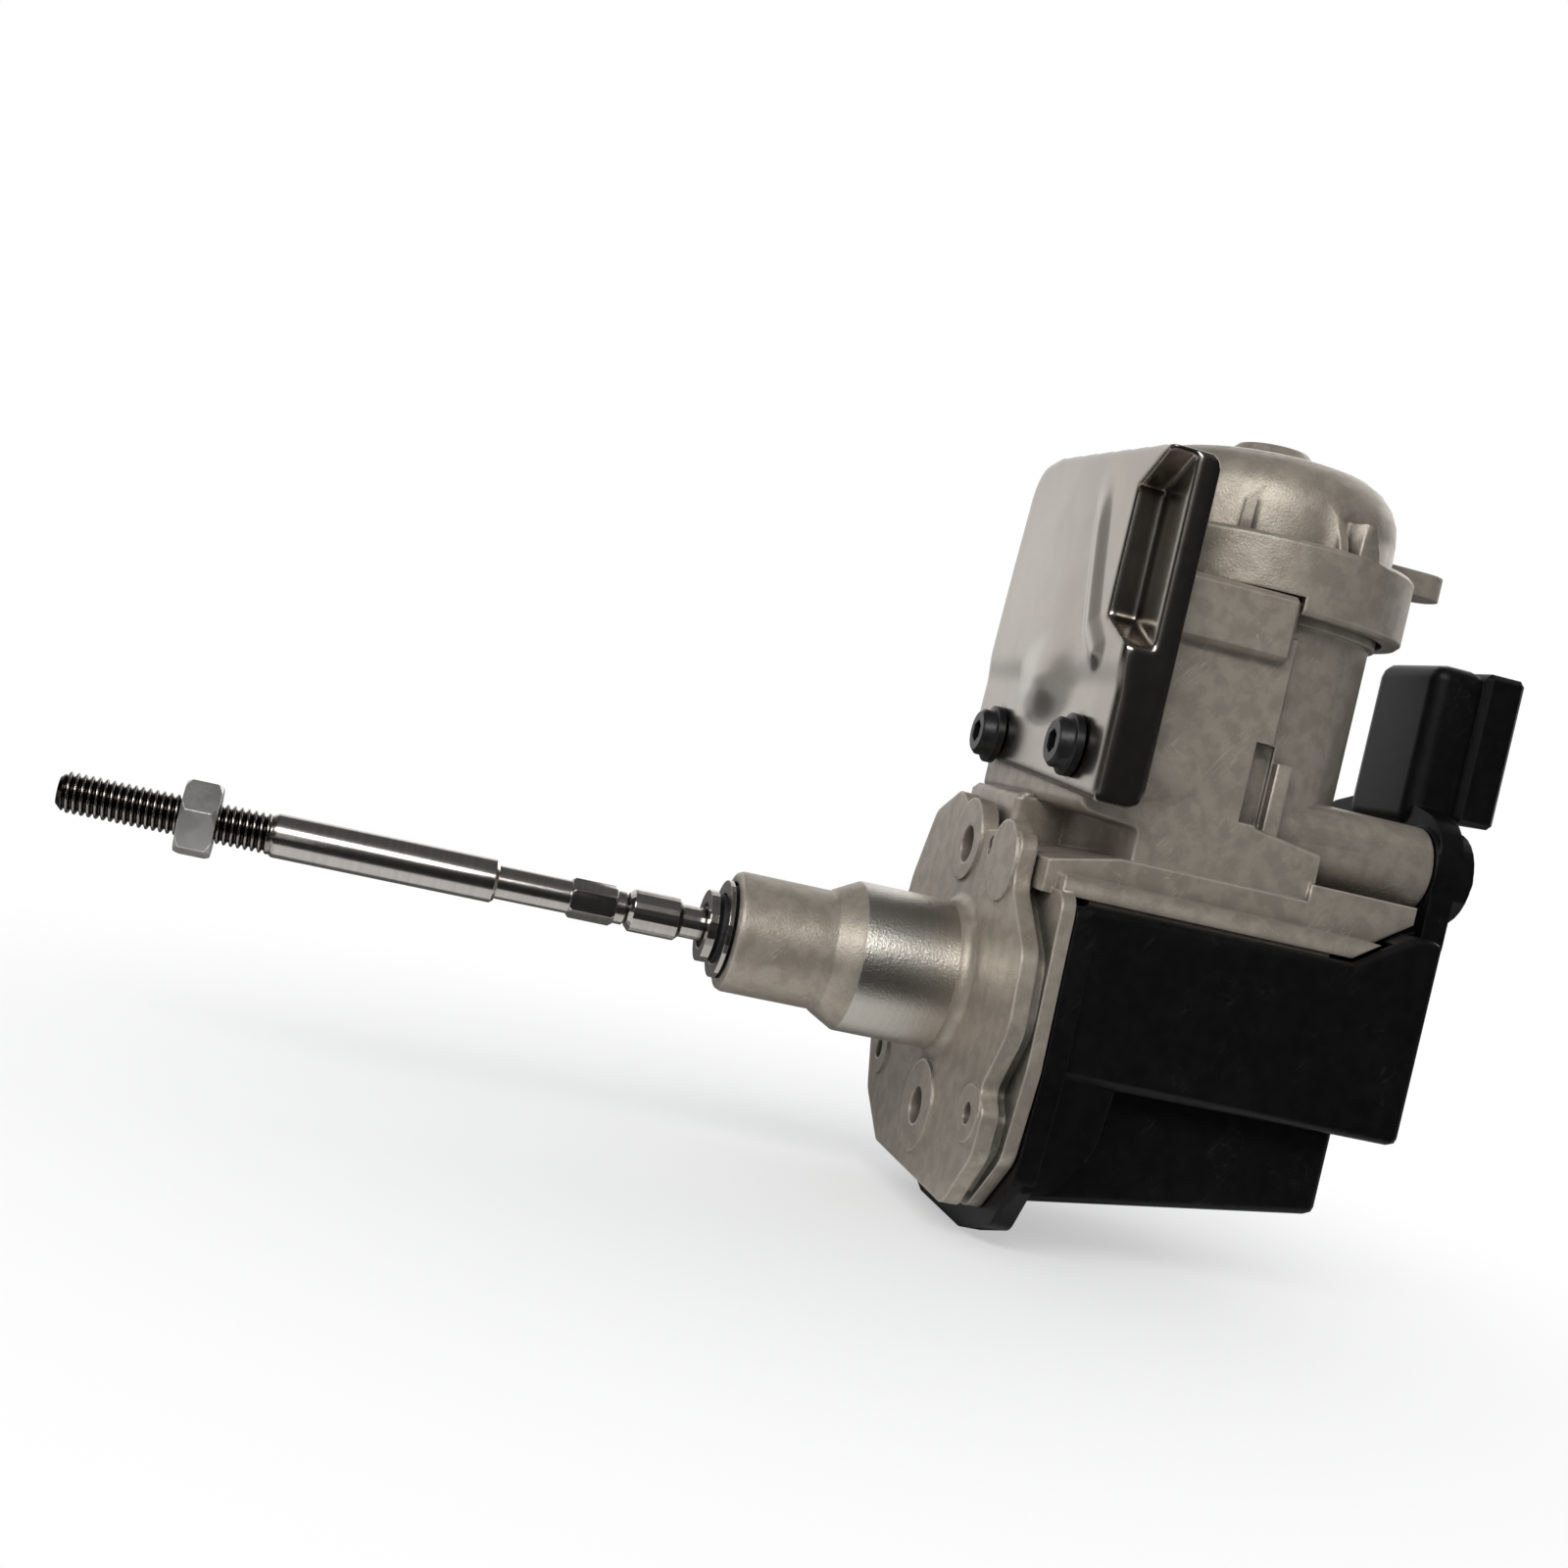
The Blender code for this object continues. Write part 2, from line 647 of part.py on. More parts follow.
def nose_profile():
    """Nose, cone, machined pilot and its foot on the flange, from the flange outwards."""
    foot = [(FOOT_R - (FOOT_R - PILOT_R) * sin(radians(a)),
             -(FOOT_R - PILOT_R) * (1 - cos(radians(a)))) for a in (0, 30, 60, 90)]
    cone_end = -PILOT_LENGTH - CONE_LENGTH
    edge = [(NOSE_R - NOSE_EDGE * (1 - cos(radians(a))),
             -NOSE_LENGTH + NOSE_EDGE * (1 - sin(radians(a)))) for a in (0, 45, 90)]
    return ([(0, PLATE_T), (FOOT_R, PLATE_T)] + foot
            + [(PILOT_R, -PILOT_LENGTH), (NOSE_R + 0.0004, cone_end), (NOSE_R, cone_end - 0.0004)]
            + edge + [(0, -NOSE_LENGTH)])


def wall_outline():
    """Side view of the cast block that carries the heat shield and meets the shelf."""
    left = SHIELD_X + SHIELD_SHEET + SEAT_GAP
    return rounded([
        (left, WALL_TOP_Z + 0.004, 0), (left, 0.0300, 0.0015), (0.0155, 0.0290, 0.0010),
        (0.0155, SHELF_BOTTOM_Z + RIM_BAND, 0.0060), (0.0450, SHELF_BOTTOM_Z + RIM_BAND - 0.001, 0),
        (0.0450, 0.0312, 0.0006), (WALL_END_X, 0.0330, 0.0003),
        (WALL_END_X, WALL_TOP_Z + 0.004, 0)], 5)


def shelf_outline():
    """Side view of the shelf, whose rear end rises over the cover's roof."""
    front, top = PLATE_T + 0.0005, SHELF_BOTTOM_Z + RIM_BAND + 0.0042
    return [(front, SHELF_BOTTOM_Z), (RISE_START_X, SHELF_BOTTOM_Z), (RISE_END_X, RISE_END_Z),
            (RISE_END_X, 0.0268), (0.0440, 0.0268), (0.0440, top), (0.0140, top),
            (front, top - 0.0022)]


def band_outline():
    """Side view of the wider band along the shelf's lower edge."""
    low, front = SHELF_BOTTOM_Z + 0.0003, RIM_X + 0.0005
    high = low + RIM_BAND
    return [(front, low), (rise_x(low) - 0.0002, low), (rise_x(high) - 0.0002, high), (front, high)]


def rise_x(z, drop=0.0):
    """Where the shelf's rising underside, or a line that far below it, is at height z."""
    slope = (RISE_END_Z - SHELF_BOTTOM_Z) / (RISE_END_X - RISE_START_X)
    return RISE_START_X + (z + drop - SHELF_BOTTOM_Z) / slope


def shield_boss(side):
    """Boss behind a shield screw, tapering into the block's side like a leaf."""
    front = SHIELD_X + SHIELD_SHEET + SEAT_GAP + 0.0006
    return turned("shield_boss_%d" % (side > 0), [
        (0, 0.0270), (0.0030, 0.0270), (BOSS_R, 0.0150), (BOSS_R, front), (0, front)],
        Matrix.Translation((0, side * BOSS_Y, SHIELD_SCREW_Z - 0.0010)) @ ALONG_X, 26)


def gear_housing(places):
    motor, idler, output = places
    body = turned("gear_housing", nose_profile(), ALONG_X, 48)
    plate = extruded("flange_plate", rounded(FLANGE_OUTLINE), 0.0, PLATE_T, PLANE_YZ)
    core = extruded("flange_core", rounded(offset(FLANGE_OUTLINE, GROOVE_DEPTH), 2),
                    PLATE_T - 0.001, RIM_X + 0.001, PLANE_YZ)
    rim = extruded("flange_rim", rounded(RIM_OUTLINE), RIM_X, RIM_X + RIM_T, PLANE_YZ)
    bosses = []
    for i, (y, z, r) in enumerate(((0.0044, 0.0215, 0.0066), (-0.0142, 0.0200, 0.0062),
                                   (-0.0008, -0.0205, 0.0072), (-0.0250, -0.0163, 0.0043),
                                   (0.0253, -0.0165, 0.0043))):
        bosses.append(rod_solid("face_boss_%d" % i, (-FACE_BOSS_T, y, z), (PLATE_T - 0.0003, y, z),
                                r, sides=28))
    wall = extruded("block_wall", wall_outline(), -WALL_HALF_WIDTH, WALL_HALF_WIDTH, PLANE_XZ)
    add_bevel(wall, 0.0012, 1, 60)
    shelf = extruded("shelf", shelf_outline(), -SHELF_TOP_HALF_WIDTH, SHELF_TOP_HALF_WIDTH,
                     PLANE_XZ)
    band = extruded("rim_band", band_outline(), -SHELF_HALF_WIDTH, SHELF_HALF_WIDTH, PLANE_XZ)
    barrel = rod_solid("barrel", (MOTOR_X, 0, SHELF_BOTTOM_Z + 0.001), (MOTOR_X, 0, 0.0650),
                       BARREL_R, sides=56)
    spigot = rod_solid("spigot", (MOTOR_X, 0, 0.0638), (MOTOR_X, 0, SPIGOT_TOP_Z),
                       SPIGOT_R - 0.0010, sides=56)
    clip = SHIELD_X + SHIELD_SHEET + SEAT_GAP
    pad = block("pad", (clip + 0.0003, -PAD_HALF_WIDTH, WALL_TOP_Z),
                (PAD_END_X, PAD_HALF_WIDTH, PAD_TOP_Z), 0.0008, 1)
    back_rib = block("back_rib", (MOTOR_X + BARREL_R - 0.003, -0.0016, 0.0432),
                     (MOTOR_X + BARREL_R + 0.0016, 0.0016, 0.0640))
    lugs = [rod_solid("lug_%d" % i, (0.0300, side * LUG_Y, LUG_Z), (LUG_END_X, side * LUG_Y, LUG_Z),
                      LUG_R, sides=28) for i, side in enumerate((-1, 1))]
    rib = block("slot_rib", (0.0352, -0.0228, 0.0284), (0.0376, 0.0228, 0.0430))
    fill = block("under_shield", (PLATE_T + 0.0010, -0.0030, 0.0228), (0.0166, 0.0214, 0.0306),
                 0.0010, 1)
    screw_bosses = [shield_boss(side) for side in (-1, 1)]
    tongues = [block("tongue_%d" % i, (0.0096, min(side * 0.0272, side * 0.0250), 0.0160),
                     (0.0480, max(side * 0.0272, side * 0.0250), SHELF_BOTTOM_Z + 0.0012))
               for i, side in enumerate((-1, 1))]
    join(body, plate, core, rim, *bosses, wall, shelf, band, barrel, pad, spigot, *lugs, rib,
         back_rib, fill, *screw_bosses, *tongues)
    cut(body, *housing_cutters(motor, idler, output))
    return as_node(body, "gear_housing", cast_metal("cast_aluminium"))


def housing_cutters(motor, idler, output):
    tools = []
    mx, my = motor
    tools.append(rod_solid("motor_bore", (mx, my, MOTOR_FLOOR_Z), (mx, my, 0.09), MOTOR_BORE_R,
                           sides=56))
    tools.append(rod_solid("motor_neck", (mx, my, 0.0), (mx, my, 0.05), 0.0050, sides=24))
    tools.append(rod_solid("output_bearing_seat", (*output, 0.0), (*output, SHELF_BOTTOM_Z + 0.0058),
                           BEARING_R + SEAT_GAP, sides=24))
    tools.append(rod_solid("idler_seat", (*idler, 0.0), (*idler, SHELF_BOTTOM_Z + 0.0062),
                           IDLER_PIN_R + SLIDE_GAP, sides=20))
    nose = -NOSE_LENGTH
    tools.append(rod_solid("seal_pocket", (nose - 0.01, 0, 0),
                           (nose + SEAL_LENGTH + SEAT_GAP, 0, 0), SEAL_R + SEAT_GAP, sides=36))
    tools.append(rod_solid("bush_bore", (nose, 0, 0), (-0.0060, 0, 0), BUSH_R + SLIDE_GAP, sides=24))
    tools.append(rod_solid("rack_room", (-0.0060, 0, 0), (0.02, 0, 0), 0.0074, sides=32))
    for i, (y, z) in enumerate(FIXING_HOLES):
        tools.append(rod_solid("fixing_hole_%d" % i, (-0.01, y, z), (RIM_X, y, z), FIXING_HOLE_R,
                               sides=20))
    for i, (y, z) in enumerate(COVER_SCREW_PLACES):
        tools.append(rod_solid("ear_hole_%d" % i, (-0.01, y, z), (0.02, y, z),
                               SCREW_R + SLIDE_GAP, sides=16))
    y, z = TOP_SMALL_HOLE
    tools.append(rod_solid("top_small_hole", (-0.01, y, z), (0.0040, y, z), SMALL_HOLE_R, sides=16))
    for i, side in enumerate((-1, 1)):
        tools.append(rod_solid("lug_hole_%d" % i, (LUG_END_X - 0.014, side * LUG_Y, LUG_Z),
                               (0.09, side * LUG_Y, LUG_Z), SCREW_R + SLIDE_GAP, sides=16))
        tools.append(rod_solid("shield_hole_%d" % i, (-0.01, side * SHIELD_SCREW_Y, SHIELD_SCREW_Z),
                               (0.0125, side * SHIELD_SCREW_Y, SHIELD_SCREW_Z), SCREW_R + SLIDE_GAP,
                               sides=16))
        tools.append(block("wall_slot_%d" % i, (SLOT_X, min(side * 0.05, side * 0.0205), 0.0333),
                           (0.0349, max(side * 0.05, side * 0.0205), 0.0454)))
    tools.append(corner_recess(SHIELD_SHEET + 0.0008))
    return tools


# Motor end cap

def dome_profile():
    """Dome over the motor, from the top boss down to the ring."""
    shoulder = [(DOME_R - 0.0088 + 0.0088 * sin(radians(a)), 0.0805 + 0.0088 * cos(radians(a)))
                for a in (6, 22, 38, 54, 72, 90)]
    return ([(0, CAP_TOP_Z), (CAP_BOSS_R - 0.0008, CAP_TOP_Z), (CAP_BOSS_R, CAP_TOP_Z - 0.0008),
             (CAP_BOSS_R + 0.0010, CAP_TOP_Z - 0.0022)] + shoulder
            + [(DOME_R + 0.0003, CAP_RING_TOP_Z - 0.001), (0, CAP_RING_TOP_Z - 0.001)])


def motor_end_cap():
    at_motor = Matrix.Translation((MOTOR_X, 0, 0))
    cap = turned("motor_end_cap", [
        (0, CAP_RING_TOP_Z), (CAP_R - 0.0006, CAP_RING_TOP_Z), (CAP_R, CAP_RING_TOP_Z - 0.0006),
        (CAP_R, CAP_SKIRT_Z + 0.0006), (CAP_R - 0.0006, CAP_SKIRT_Z), (0, CAP_SKIRT_Z)],
        at_motor, 60)
    dome = turned("dome", dome_profile(), at_motor @ Matrix.Rotation(radians(2), 4, 'Z'), 44)
    ear = extruded("cap_ear", rounded([
        (0.0480, -0.0048, 0), (0.0659, -0.0048, 0.0045), (0.0659, 0.0048, 0.0045),
        (0.0480, 0.0048, 0)]), CAP_RING_TOP_Z - 0.0005, CAP_RING_TOP_Z + 0.0033, PLANE_XY)
    join(cap, dome, ear, *cap_ribs())
    hollow = turned("cap_hollow", [
        (0, CAP_TOP_Z - 0.0030), (0.0042, CAP_TOP_Z - 0.0030), (0.0042, CAP_TOP_Z - 0.0070),
        (DOME_R - 0.0085, 0.0856), (DOME_R - 0.0045, 0.0842), (DOME_R - CAP_WALL, 0.0806),
        (DOME_R - CAP_WALL, SPIGOT_TOP_Z + 0.0006),
        (SPIGOT_R, SPIGOT_TOP_Z + 0.0006), (SPIGOT_R, CAP_SKIRT_Z - 0.01), (0, CAP_SKIRT_Z - 0.01)],
        at_motor, 48)
    seats = block("pad_clearance", (-0.02, -0.06, 0.05),
                  (MOTOR_X - 0.0008, 0.06, PAD_TOP_Z + SEAT_GAP))
    cut(cap, seats, hollow)
    return as_node(cap, "motor_end_cap", cast_metal("cap_aluminium"))


def cap_ribs():
    """Radial gussets between the ring and the dome, and the raised stops on the ring."""
    tools = []
    for i, angle in enumerate((-80, 65, 121, 243)):
        gusset = extruded("gusset_%d" % i, [(0.0180, 0.0742), (0.0248, 0.0742), (0.0236, 0.0772),
                                            (0.0186, 0.0858)], -0.0008, 0.0008, PLANE_XZ)
        gusset.data.transform(Matrix.Translation((MOTOR_X, 0, 0))
                              @ Matrix.Rotation(radians(angle), 4, 'Z'))
        tools.append(gusset)
    for i, angle in enumerate((-72, 108)):
        stop = extruded("stop_%d" % i, [(-0.0034, 0.0742), (0.0012, 0.0742), (0.0010, 0.0804),
                                        (-0.0008, 0.0804), (-0.0026, 0.0768)],
                        -0.0250, -0.0200, PLANE_XZ)
        stop.data.transform(Matrix.Translation((MOTOR_X, 0, 0))
                            @ Matrix.Rotation(radians(angle - 90), 4, 'Z'))
        tools.append(stop)
    return tools


def cap_seal_ring():
    top = SPIGOT_TOP_Z - 0.0008
    return tube("cap_seal_ring", material("seal_rubber", (0.02, 0.02, 0.02), 0.7, 0),
                SPIGOT_R - 0.0010 + SEAT_GAP / 3, SPIGOT_R - SEAT_GAP, top - 0.0020, top, 48,
                Matrix.Translation((MOTOR_X, 0, 0)))


# Heat shield

def shield_form(inset):
    """The pressed shape, solid, moved inwards by the sheet's thickness when asked."""
    near, far = SHIELD_NEAR_Y + inset, SHIELD_FAR_Y - inset
    outline = rounded([
        (near, SHIELD_BOTTOM_Z, 0.0), (near, SHIELD_TOP_Z - 0.0010, 0.0),
        (0.0180, SHIELD_TOP_Z + 0.0012, 0.0), (far - 0.0040, SHIELD_TOP_Z, 0.0085),
        (far, 0.0440, 0.006), (far, 0.0372, 0.0050), (0.0180, 0.0345, 0.004)], 5)
    if inset:
        outline = [(y, z + (inset * 4 if z > 0.06 else -inset * 4)) for y, z in outline]
    form = extruded("shield_form_%d" % (inset > 0), outline, SHIELD_X + inset,
                    SHIELD_X + SHIELD_RETURN + (0.003 if inset else 0), PLANE_YZ)
    return form


def corner_recess(inset):
    """Space before the stepped-back upper near corner, whose ends slope out to the edge."""
    edge = SHIELD_NEAR_Y - 0.0020
    reach = RECESS_Y - edge
    outline = [(RECESS_Y + inset, RECESS_LOW_Z - inset / 2), (edge, RECESS_LOW_Z - 0.45 * reach - inset),
               (edge, RECESS_HIGH_Z + 0.55 * reach + inset), (RECESS_Y + inset, RECESS_HIGH_Z + inset / 2)]
    return extruded("corner_recess", outline, SHIELD_X - 0.0020, SHIELD_X + RECESS_DEPTH + inset,
                    PLANE_YZ)


def heat_shield():
    sheet = shield_form(0.0)
    add_bevel(sheet, 0.0011, 2, 60)
    cut(sheet, corner_recess(0.0))
    inner = shield_form(SHIELD_SHEET)
    cut(inner, corner_recess(SHIELD_SHEET))
    corner_cut = shield_corner_cutters()
    holes = [rod_solid("shield_screw_hole_%d" % i, (-0.01, side * SHIELD_SCREW_Y, SHIELD_SCREW_Z),
                       (0.01, side * SHIELD_SCREW_Y, SHIELD_SCREW_Z), 0.0026, sides=20)
             for i, side in enumerate((-1, 1))]
    cut(sheet, inner, *corner_cut, *holes)
    return as_node(sheet, "heat_shield", material("shield_stainless", (0.50, 0.48, 0.45), 0.30, 1))


def shield_corner_cutters():
    """Rounds the free corners of the side return and shortens the far return."""
    rear = SHIELD_X + SHIELD_RETURN
    y0, y1 = SHIELD_NEAR_Y - 0.005, SHIELD_NEAR_Y + 0.005
    r = 0.0038
    top = extruded("return_top", fan((rear, SHIELD_TOP_Z - 0.0005), (-1, -1), r), -y1, -y0, PLANE_XZ)
    low = extruded("return_low", fan((rear, SHIELD_BOTTOM_Z), (-1, 1), r), -y1, -y0, PLANE_XZ)
    far = block("far_return", (SHIELD_X + 0.0045, SHIELD_NEAR_Y + 0.010, 0.02), (0.03, 0.05, 0.10))
    return [top, low, far]


def fan(corner, inward, radius, steps=5):
    """The sliver outside a quarter circle, used to round a sheet's corner."""
    cx, cz = corner
    sx, sz = inward
    spill = 0.002
    points = [(cx - sx * spill, cz - sz * spill), (cx - sx * spill, cz + sz * radius)]
    for i in range(steps + 1):
        a = pi / 2 * i / steps
        points.append((cx + sx * radius * (1 - cos(a)), cz + sz * radius * (1 - sin(a))))
    points.append((cx + sx * radius, cz - sz * spill))
    return points


def shield_screw(name, side):
    y, z = side * SHIELD_SCREW_Y, SHIELD_SCREW_Z
    face = SHIELD_X - SEAT_GAP
    head = turned(name, [
        (0, face), (SHIELD_SCREW_R, face), (SHIELD_SCREW_R, face - 0.0012),
        (SHIELD_SCREW_R - 0.0009, face - 0.0014), (SHIELD_SCREW_R - 0.0009, face - 0.0028),
        (SHIELD_SCREW_R - 0.0015, face - 0.0034), (0, face - 0.0034)],
        Matrix.Translation((0, y, z)) @ ALONG_X, 24)
    shank = rod_solid(name + "_shank", (face - 0.001, y, z), (0.0120, y, z), SCREW_R, sides=16)
    socket = rod_solid(name + "_socket", (face - 0.01, y, z), (face - 0.0018, y, z), 0.0019, sides=6)
    join(head, shank)
    cut(head, socket)
    return as_node(head, name, material("screw_black", (0.015, 0.015, 0.016), 0.4, 0.6))


# Gear cover with the connector

def roof_outline(inset):
    """Side view of the cover's main box, with the roof that rises behind the shelf."""
    roof = SHELF_BOTTOM_Z - SEAT_GAP
    top = roof + 0.02 if inset else roof
    front = COVER_X - 0.02 if inset else COVER_X + 0.0010
    return [(front, COVER_STEP_Z + inset), (COVER_REAR_X - inset, COVER_STEP_Z + inset),
            (COVER_REAR_X - inset, COVER_TOP_Z - inset),
            (rise_x(COVER_TOP_Z, 0.00045) - inset, COVER_TOP_Z - inset),
            (rise_x(roof, 0.00045) - inset / 2, top), (front, top)]


def sump_outline(inset):
    """Side view of the shallow lower box, whose floor slopes down to the flange."""
    slope = (SUMP_REAR_Z - SUMP_FRONT_Z) / (SUMP_REAR_X - COVER_X)
    front = COVER_X - 0.02 if inset else COVER_X + 0.0014
    return [(front, COVER_STEP_Z + 0.002 + inset),
            (front, SUMP_FRONT_Z + inset + slope * (front - COVER_X)),
            (SUMP_REAR_X - inset, SUMP_REAR_Z + inset - slope * inset),
            (SUMP_REAR_X - inset, COVER_STEP_Z + 0.002 + inset)]


def cover_ear(side):
    """Ear round a cover screw, blending into the lower box with a hollow curve."""
    outline = rounded([
        (COVER_X + 0.0018, COVER_STEP_Z + 0.0006, 0), (0.0192, COVER_STEP_Z + 0.0006, 0.0010),
        (0.0182, -0.0178, 0.0080), (0.0136, -0.0246, 0.0010), (COVER_X + 0.0018, -0.0256, 0)], 4)
    near, far = sorted((side * 0.0292, side * 0.0200))
    return extruded("ear_%d" % (side > 0), outline, -far, -near, PLANE_XZ)


def gear_cover(output):
    body = extruded("gear_cover", roof_outline(0.0), -COVER_HALF_WIDTH, COVER_HALF_WIDTH, PLANE_XZ)
    add_bevel(body, 0.0014, 2, 60)
    sump = extruded("sump", sump_outline(0.0), -SUMP_HALF_WIDTH, SUMP_HALF_WIDTH, PLANE_XZ)
    add_bevel(sump, 0.0014, 2, 60)
    rim = extruded("cover_rim", rounded(COVER_OUTLINE), COVER_X, COVER_X + COVER_RIM_T, PLANE_YZ)
    ears = [cover_ear(-1), cover_ear(1)]
    foot = extruded("tower_foot", [(0.0600, -0.0060), (TOWER_X, -0.0060), (TOWER_X, 0.0300),
                                   (0.0668, 0.0300), (0.0668, 0.0238), (0.0626, 0.0222),
                                   (0.0600, 0.0196)],
                    -TOWER_HALF_WIDTH, TOWER_HALF_WIDTH, PLANE_XZ)
    plate = extruded("tower_plate", rounded([
        (-0.0212, 0.0205, 0.001), (0.0212, 0.0205, 0.001), (0.0212, 0.0402, 0.007),
        (0.0100, 0.0425, 0.001), (-0.0100, 0.0425, 0.001), (-0.0212, 0.0402, 0.007)], 4),
        LUG_END_X + 0.0007, TOWER_X + 0.0005, PLANE_YZ)
    bosses = [rod_solid("screw_boss_%d" % i, (LUG_END_X + SEAT_GAP, side * LUG_Y, LUG_Z),
                        (SCREW_BOSS_X, side * LUG_Y, LUG_Z), SCREW_BOSS_R, sides=28)
              for i, side in enumerate((-1, 1))]
    join(body, sump, rim, *ears, foot, plate, *bosses, *connector_shell(),
         bearing_post(output))
    cut(body, *cover_cutters(output))
    return as_node(body, "gear_cover", black_plastic("cover_plastic"))


def bearing_post(output):
    """Post on the cover's floor that carries the lower end of the output shaft."""
    return rod_solid("bearing_post", (*output, SUMP_REAR_Z - 0.0030), (*output, -0.0070), 0.0072,
                     sides=24)


def connector_shell():
    half = PLUG_HALF_WIDTH
    neck = block("plug_neck", (PLUG_X, -half, 0.0385), (0.0735, half, PLUG_TOP_Z), 0.0026, 3)
    collar = block("plug_collar", (0.0728, -half - 0.0003, PLUG_BOTTOM_Z),
                   (PLUG_END_X, half + 0.0003, PLUG_TOP_Z + 0.0002), 0.0008, 1)
    latch = block("plug_latch", (0.0750, half - 0.0010, 0.0505),
                  (PLUG_END_X - 0.0015, half + 0.0018, 0.0560))
    return [neck, collar, latch]


def cover_cutters(output):
    tools = []
    wall = COVER_WALL
    half = COVER_HALF_WIDTH - wall
    room = extruded("cover_room", roof_outline(wall), -half, half, PLANE_XZ)
    half = SUMP_HALF_WIDTH - wall - 0.0008
    pit = extruded("sump_room", sump_outline(wall), -half, half, PLANE_XZ)
    post = bearing_post(output)
    post.name = "post_keep"
    cut(pit, post)
    rear = block("tower_room", (0.0500, -TOWER_HALF_WIDTH + wall, COVER_STEP_Z + wall + 0.0010),
                 (TOWER_X - wall, TOWER_HALF_WIDTH - wall, 0.0136))
    seat = rod_solid("post_bore", (*output, -0.0135), (*output, 0.0),
                     BEARING_R - 0.0006 + SEAT_GAP, sides=24)
    tools += [room, pit, rear, seat]
    half = PLUG_HALF_WIDTH - PLUG_WALL
    tools.append(block("plug_socket", (0.0698, -half, PLUG_BOTTOM_Z + PLUG_WALL),
                       (PLUG_END_X + 0.01, half, PLUG_TOP_Z - PLUG_WALL), 0.0012, 1))
    for i in range(PIN_COUNT):
        z = pin_height(i)
        grip = PIN_SIZE / 2 + SEAT_GAP / 2
        tools.append(block("pin_slot_%d" % i, (0.0674, -grip, z - grip), (0.0720, grip, z + grip)))
    for i, side in enumerate((-1, 1)):
        tools.append(rod_solid("rear_screw_way_%d" % i, (0.05, side * LUG_Y, LUG_Z),
                               (0.09, side * LUG_Y, LUG_Z), SCREW_R + SEAT_GAP, sides=16))
    for i, (y, z) in enumerate(COVER_SCREW_PLACES):
        tools.append(rod_solid("ear_screw_way_%d" % i, (0.0, y, z), (0.016, y, z), SCREW_R + SEAT_GAP,
                               sides=16))
        tools.append(rod_solid("ear_head_way_%d" % i, (COVER_X + COVER_RIM_T + 0.0010, y, z),
                               (0.0185, y, z), SCREW_HEAD_R + SEAT_GAP, sides=24))
    return tools


def pin_height(index):
    """The pins share out the socket's height, with a little more room at both ends."""
    middle = (PLUG_BOTTOM_Z + PLUG_TOP_Z) / 2
    pitch = (PLUG_TOP_Z - PLUG_BOTTOM_Z - 2 * PLUG_WALL) / (PIN_COUNT + 0.5)
    return middle + (index - (PIN_COUNT - 1) / 2) * pitch


def terminal_pin(index):
    z, half = pin_height(index), PIN_SIZE / 2
    name = "terminal_pin_%d" % (index + 1)
    pin = block(name, (0.0678, -half, z - half), (PLUG_END_X - 0.0026, half, z + half), 0.0002, 1)
    return as_node(pin, name, material("tinned_pin", (0.66, 0.62, 0.52), 0.3, 1))


def socket_screw(name, seat_x, y, z, length):
    """Cap screw along X, with its head on the +X side of its seat."""
    head = rod_solid(name, (seat_x, y, z), (seat_x + SCREW_HEAD_T, y, z), SCREW_HEAD_R, sides=24)
    shank = rod_solid(name + "_shank", (seat_x - length, y, z), (seat_x + 0.001, y, z), SCREW_R,
                      sides=16)
    socket = rod_solid(name + "_socket", (seat_x + SCREW_HEAD_T - 0.0014, y, z),
                       (seat_x + SCREW_HEAD_T + 0.01, y, z), 0.0017, sides=6)
    join(head, shank)
    cut(head, socket)
    return as_node(head, name, steel("screw_steel"))


# Rod guides and seal

def tube(name, mat, inner, outer, low, high, sides=28, frame=ALONG_X, place=None):
    ring = turned(name, [(outer, high), (outer, low), (inner, low), (inner, high)], frame, sides,
                  closed=True)
    return as_node(ring, name, mat, place)


def rod_guides():
    nose = -NOSE_LENGTH
    bronze = material("bush_bronze", (0.55, 0.40, 0.22), 0.35, 1)
    bore = SPINDLE_R + SLIDE_GAP
    start = nose + SEAL_LENGTH + 2 * SEAT_GAP
    tube("front_guide_bush", bronze, bore, BUSH_R, start, start + BUSH_LENGTH)
    tube("rear_guide_bush", bronze.copy(), bore, BUSH_R, -0.0062 - BUSH_LENGTH, -0.0062)
    seal = turned("rod_seal", [
        (SEAL_R, nose + SEAL_LENGTH), (SEAL_R, nose + 0.0006), (SEAL_R - 0.0012, nose - 0.0002),
        (0.0052, nose - 0.0002), (0.0052, nose - 0.0016), (bore + 0.0004, nose - 0.0022),
        (bore, nose - 0.0018), (bore, nose + SEAL_LENGTH)], ALONG_X, 32, closed=True)
    as_node(seal, "rod_seal", material("lip_rubber", (0.03, 0.03, 0.03), 0.6, 0))
    tube("seal_retainer", steel("retainer_steel"), bore + 0.0010, 0.0055,
         nose - 0.0037, nose - 0.0024)
    tube("seal_washer", steel("washer_steel"), 0.0055, 0.0075, nose - 0.0012, nose - 0.0005, 32)


# Electric motor

def armature_base():
    """Height of the lowest lamination, set from the closed end of the can."""
    return CAN_TOP_Z - 0.0090 - ARMATURE_LENGTH


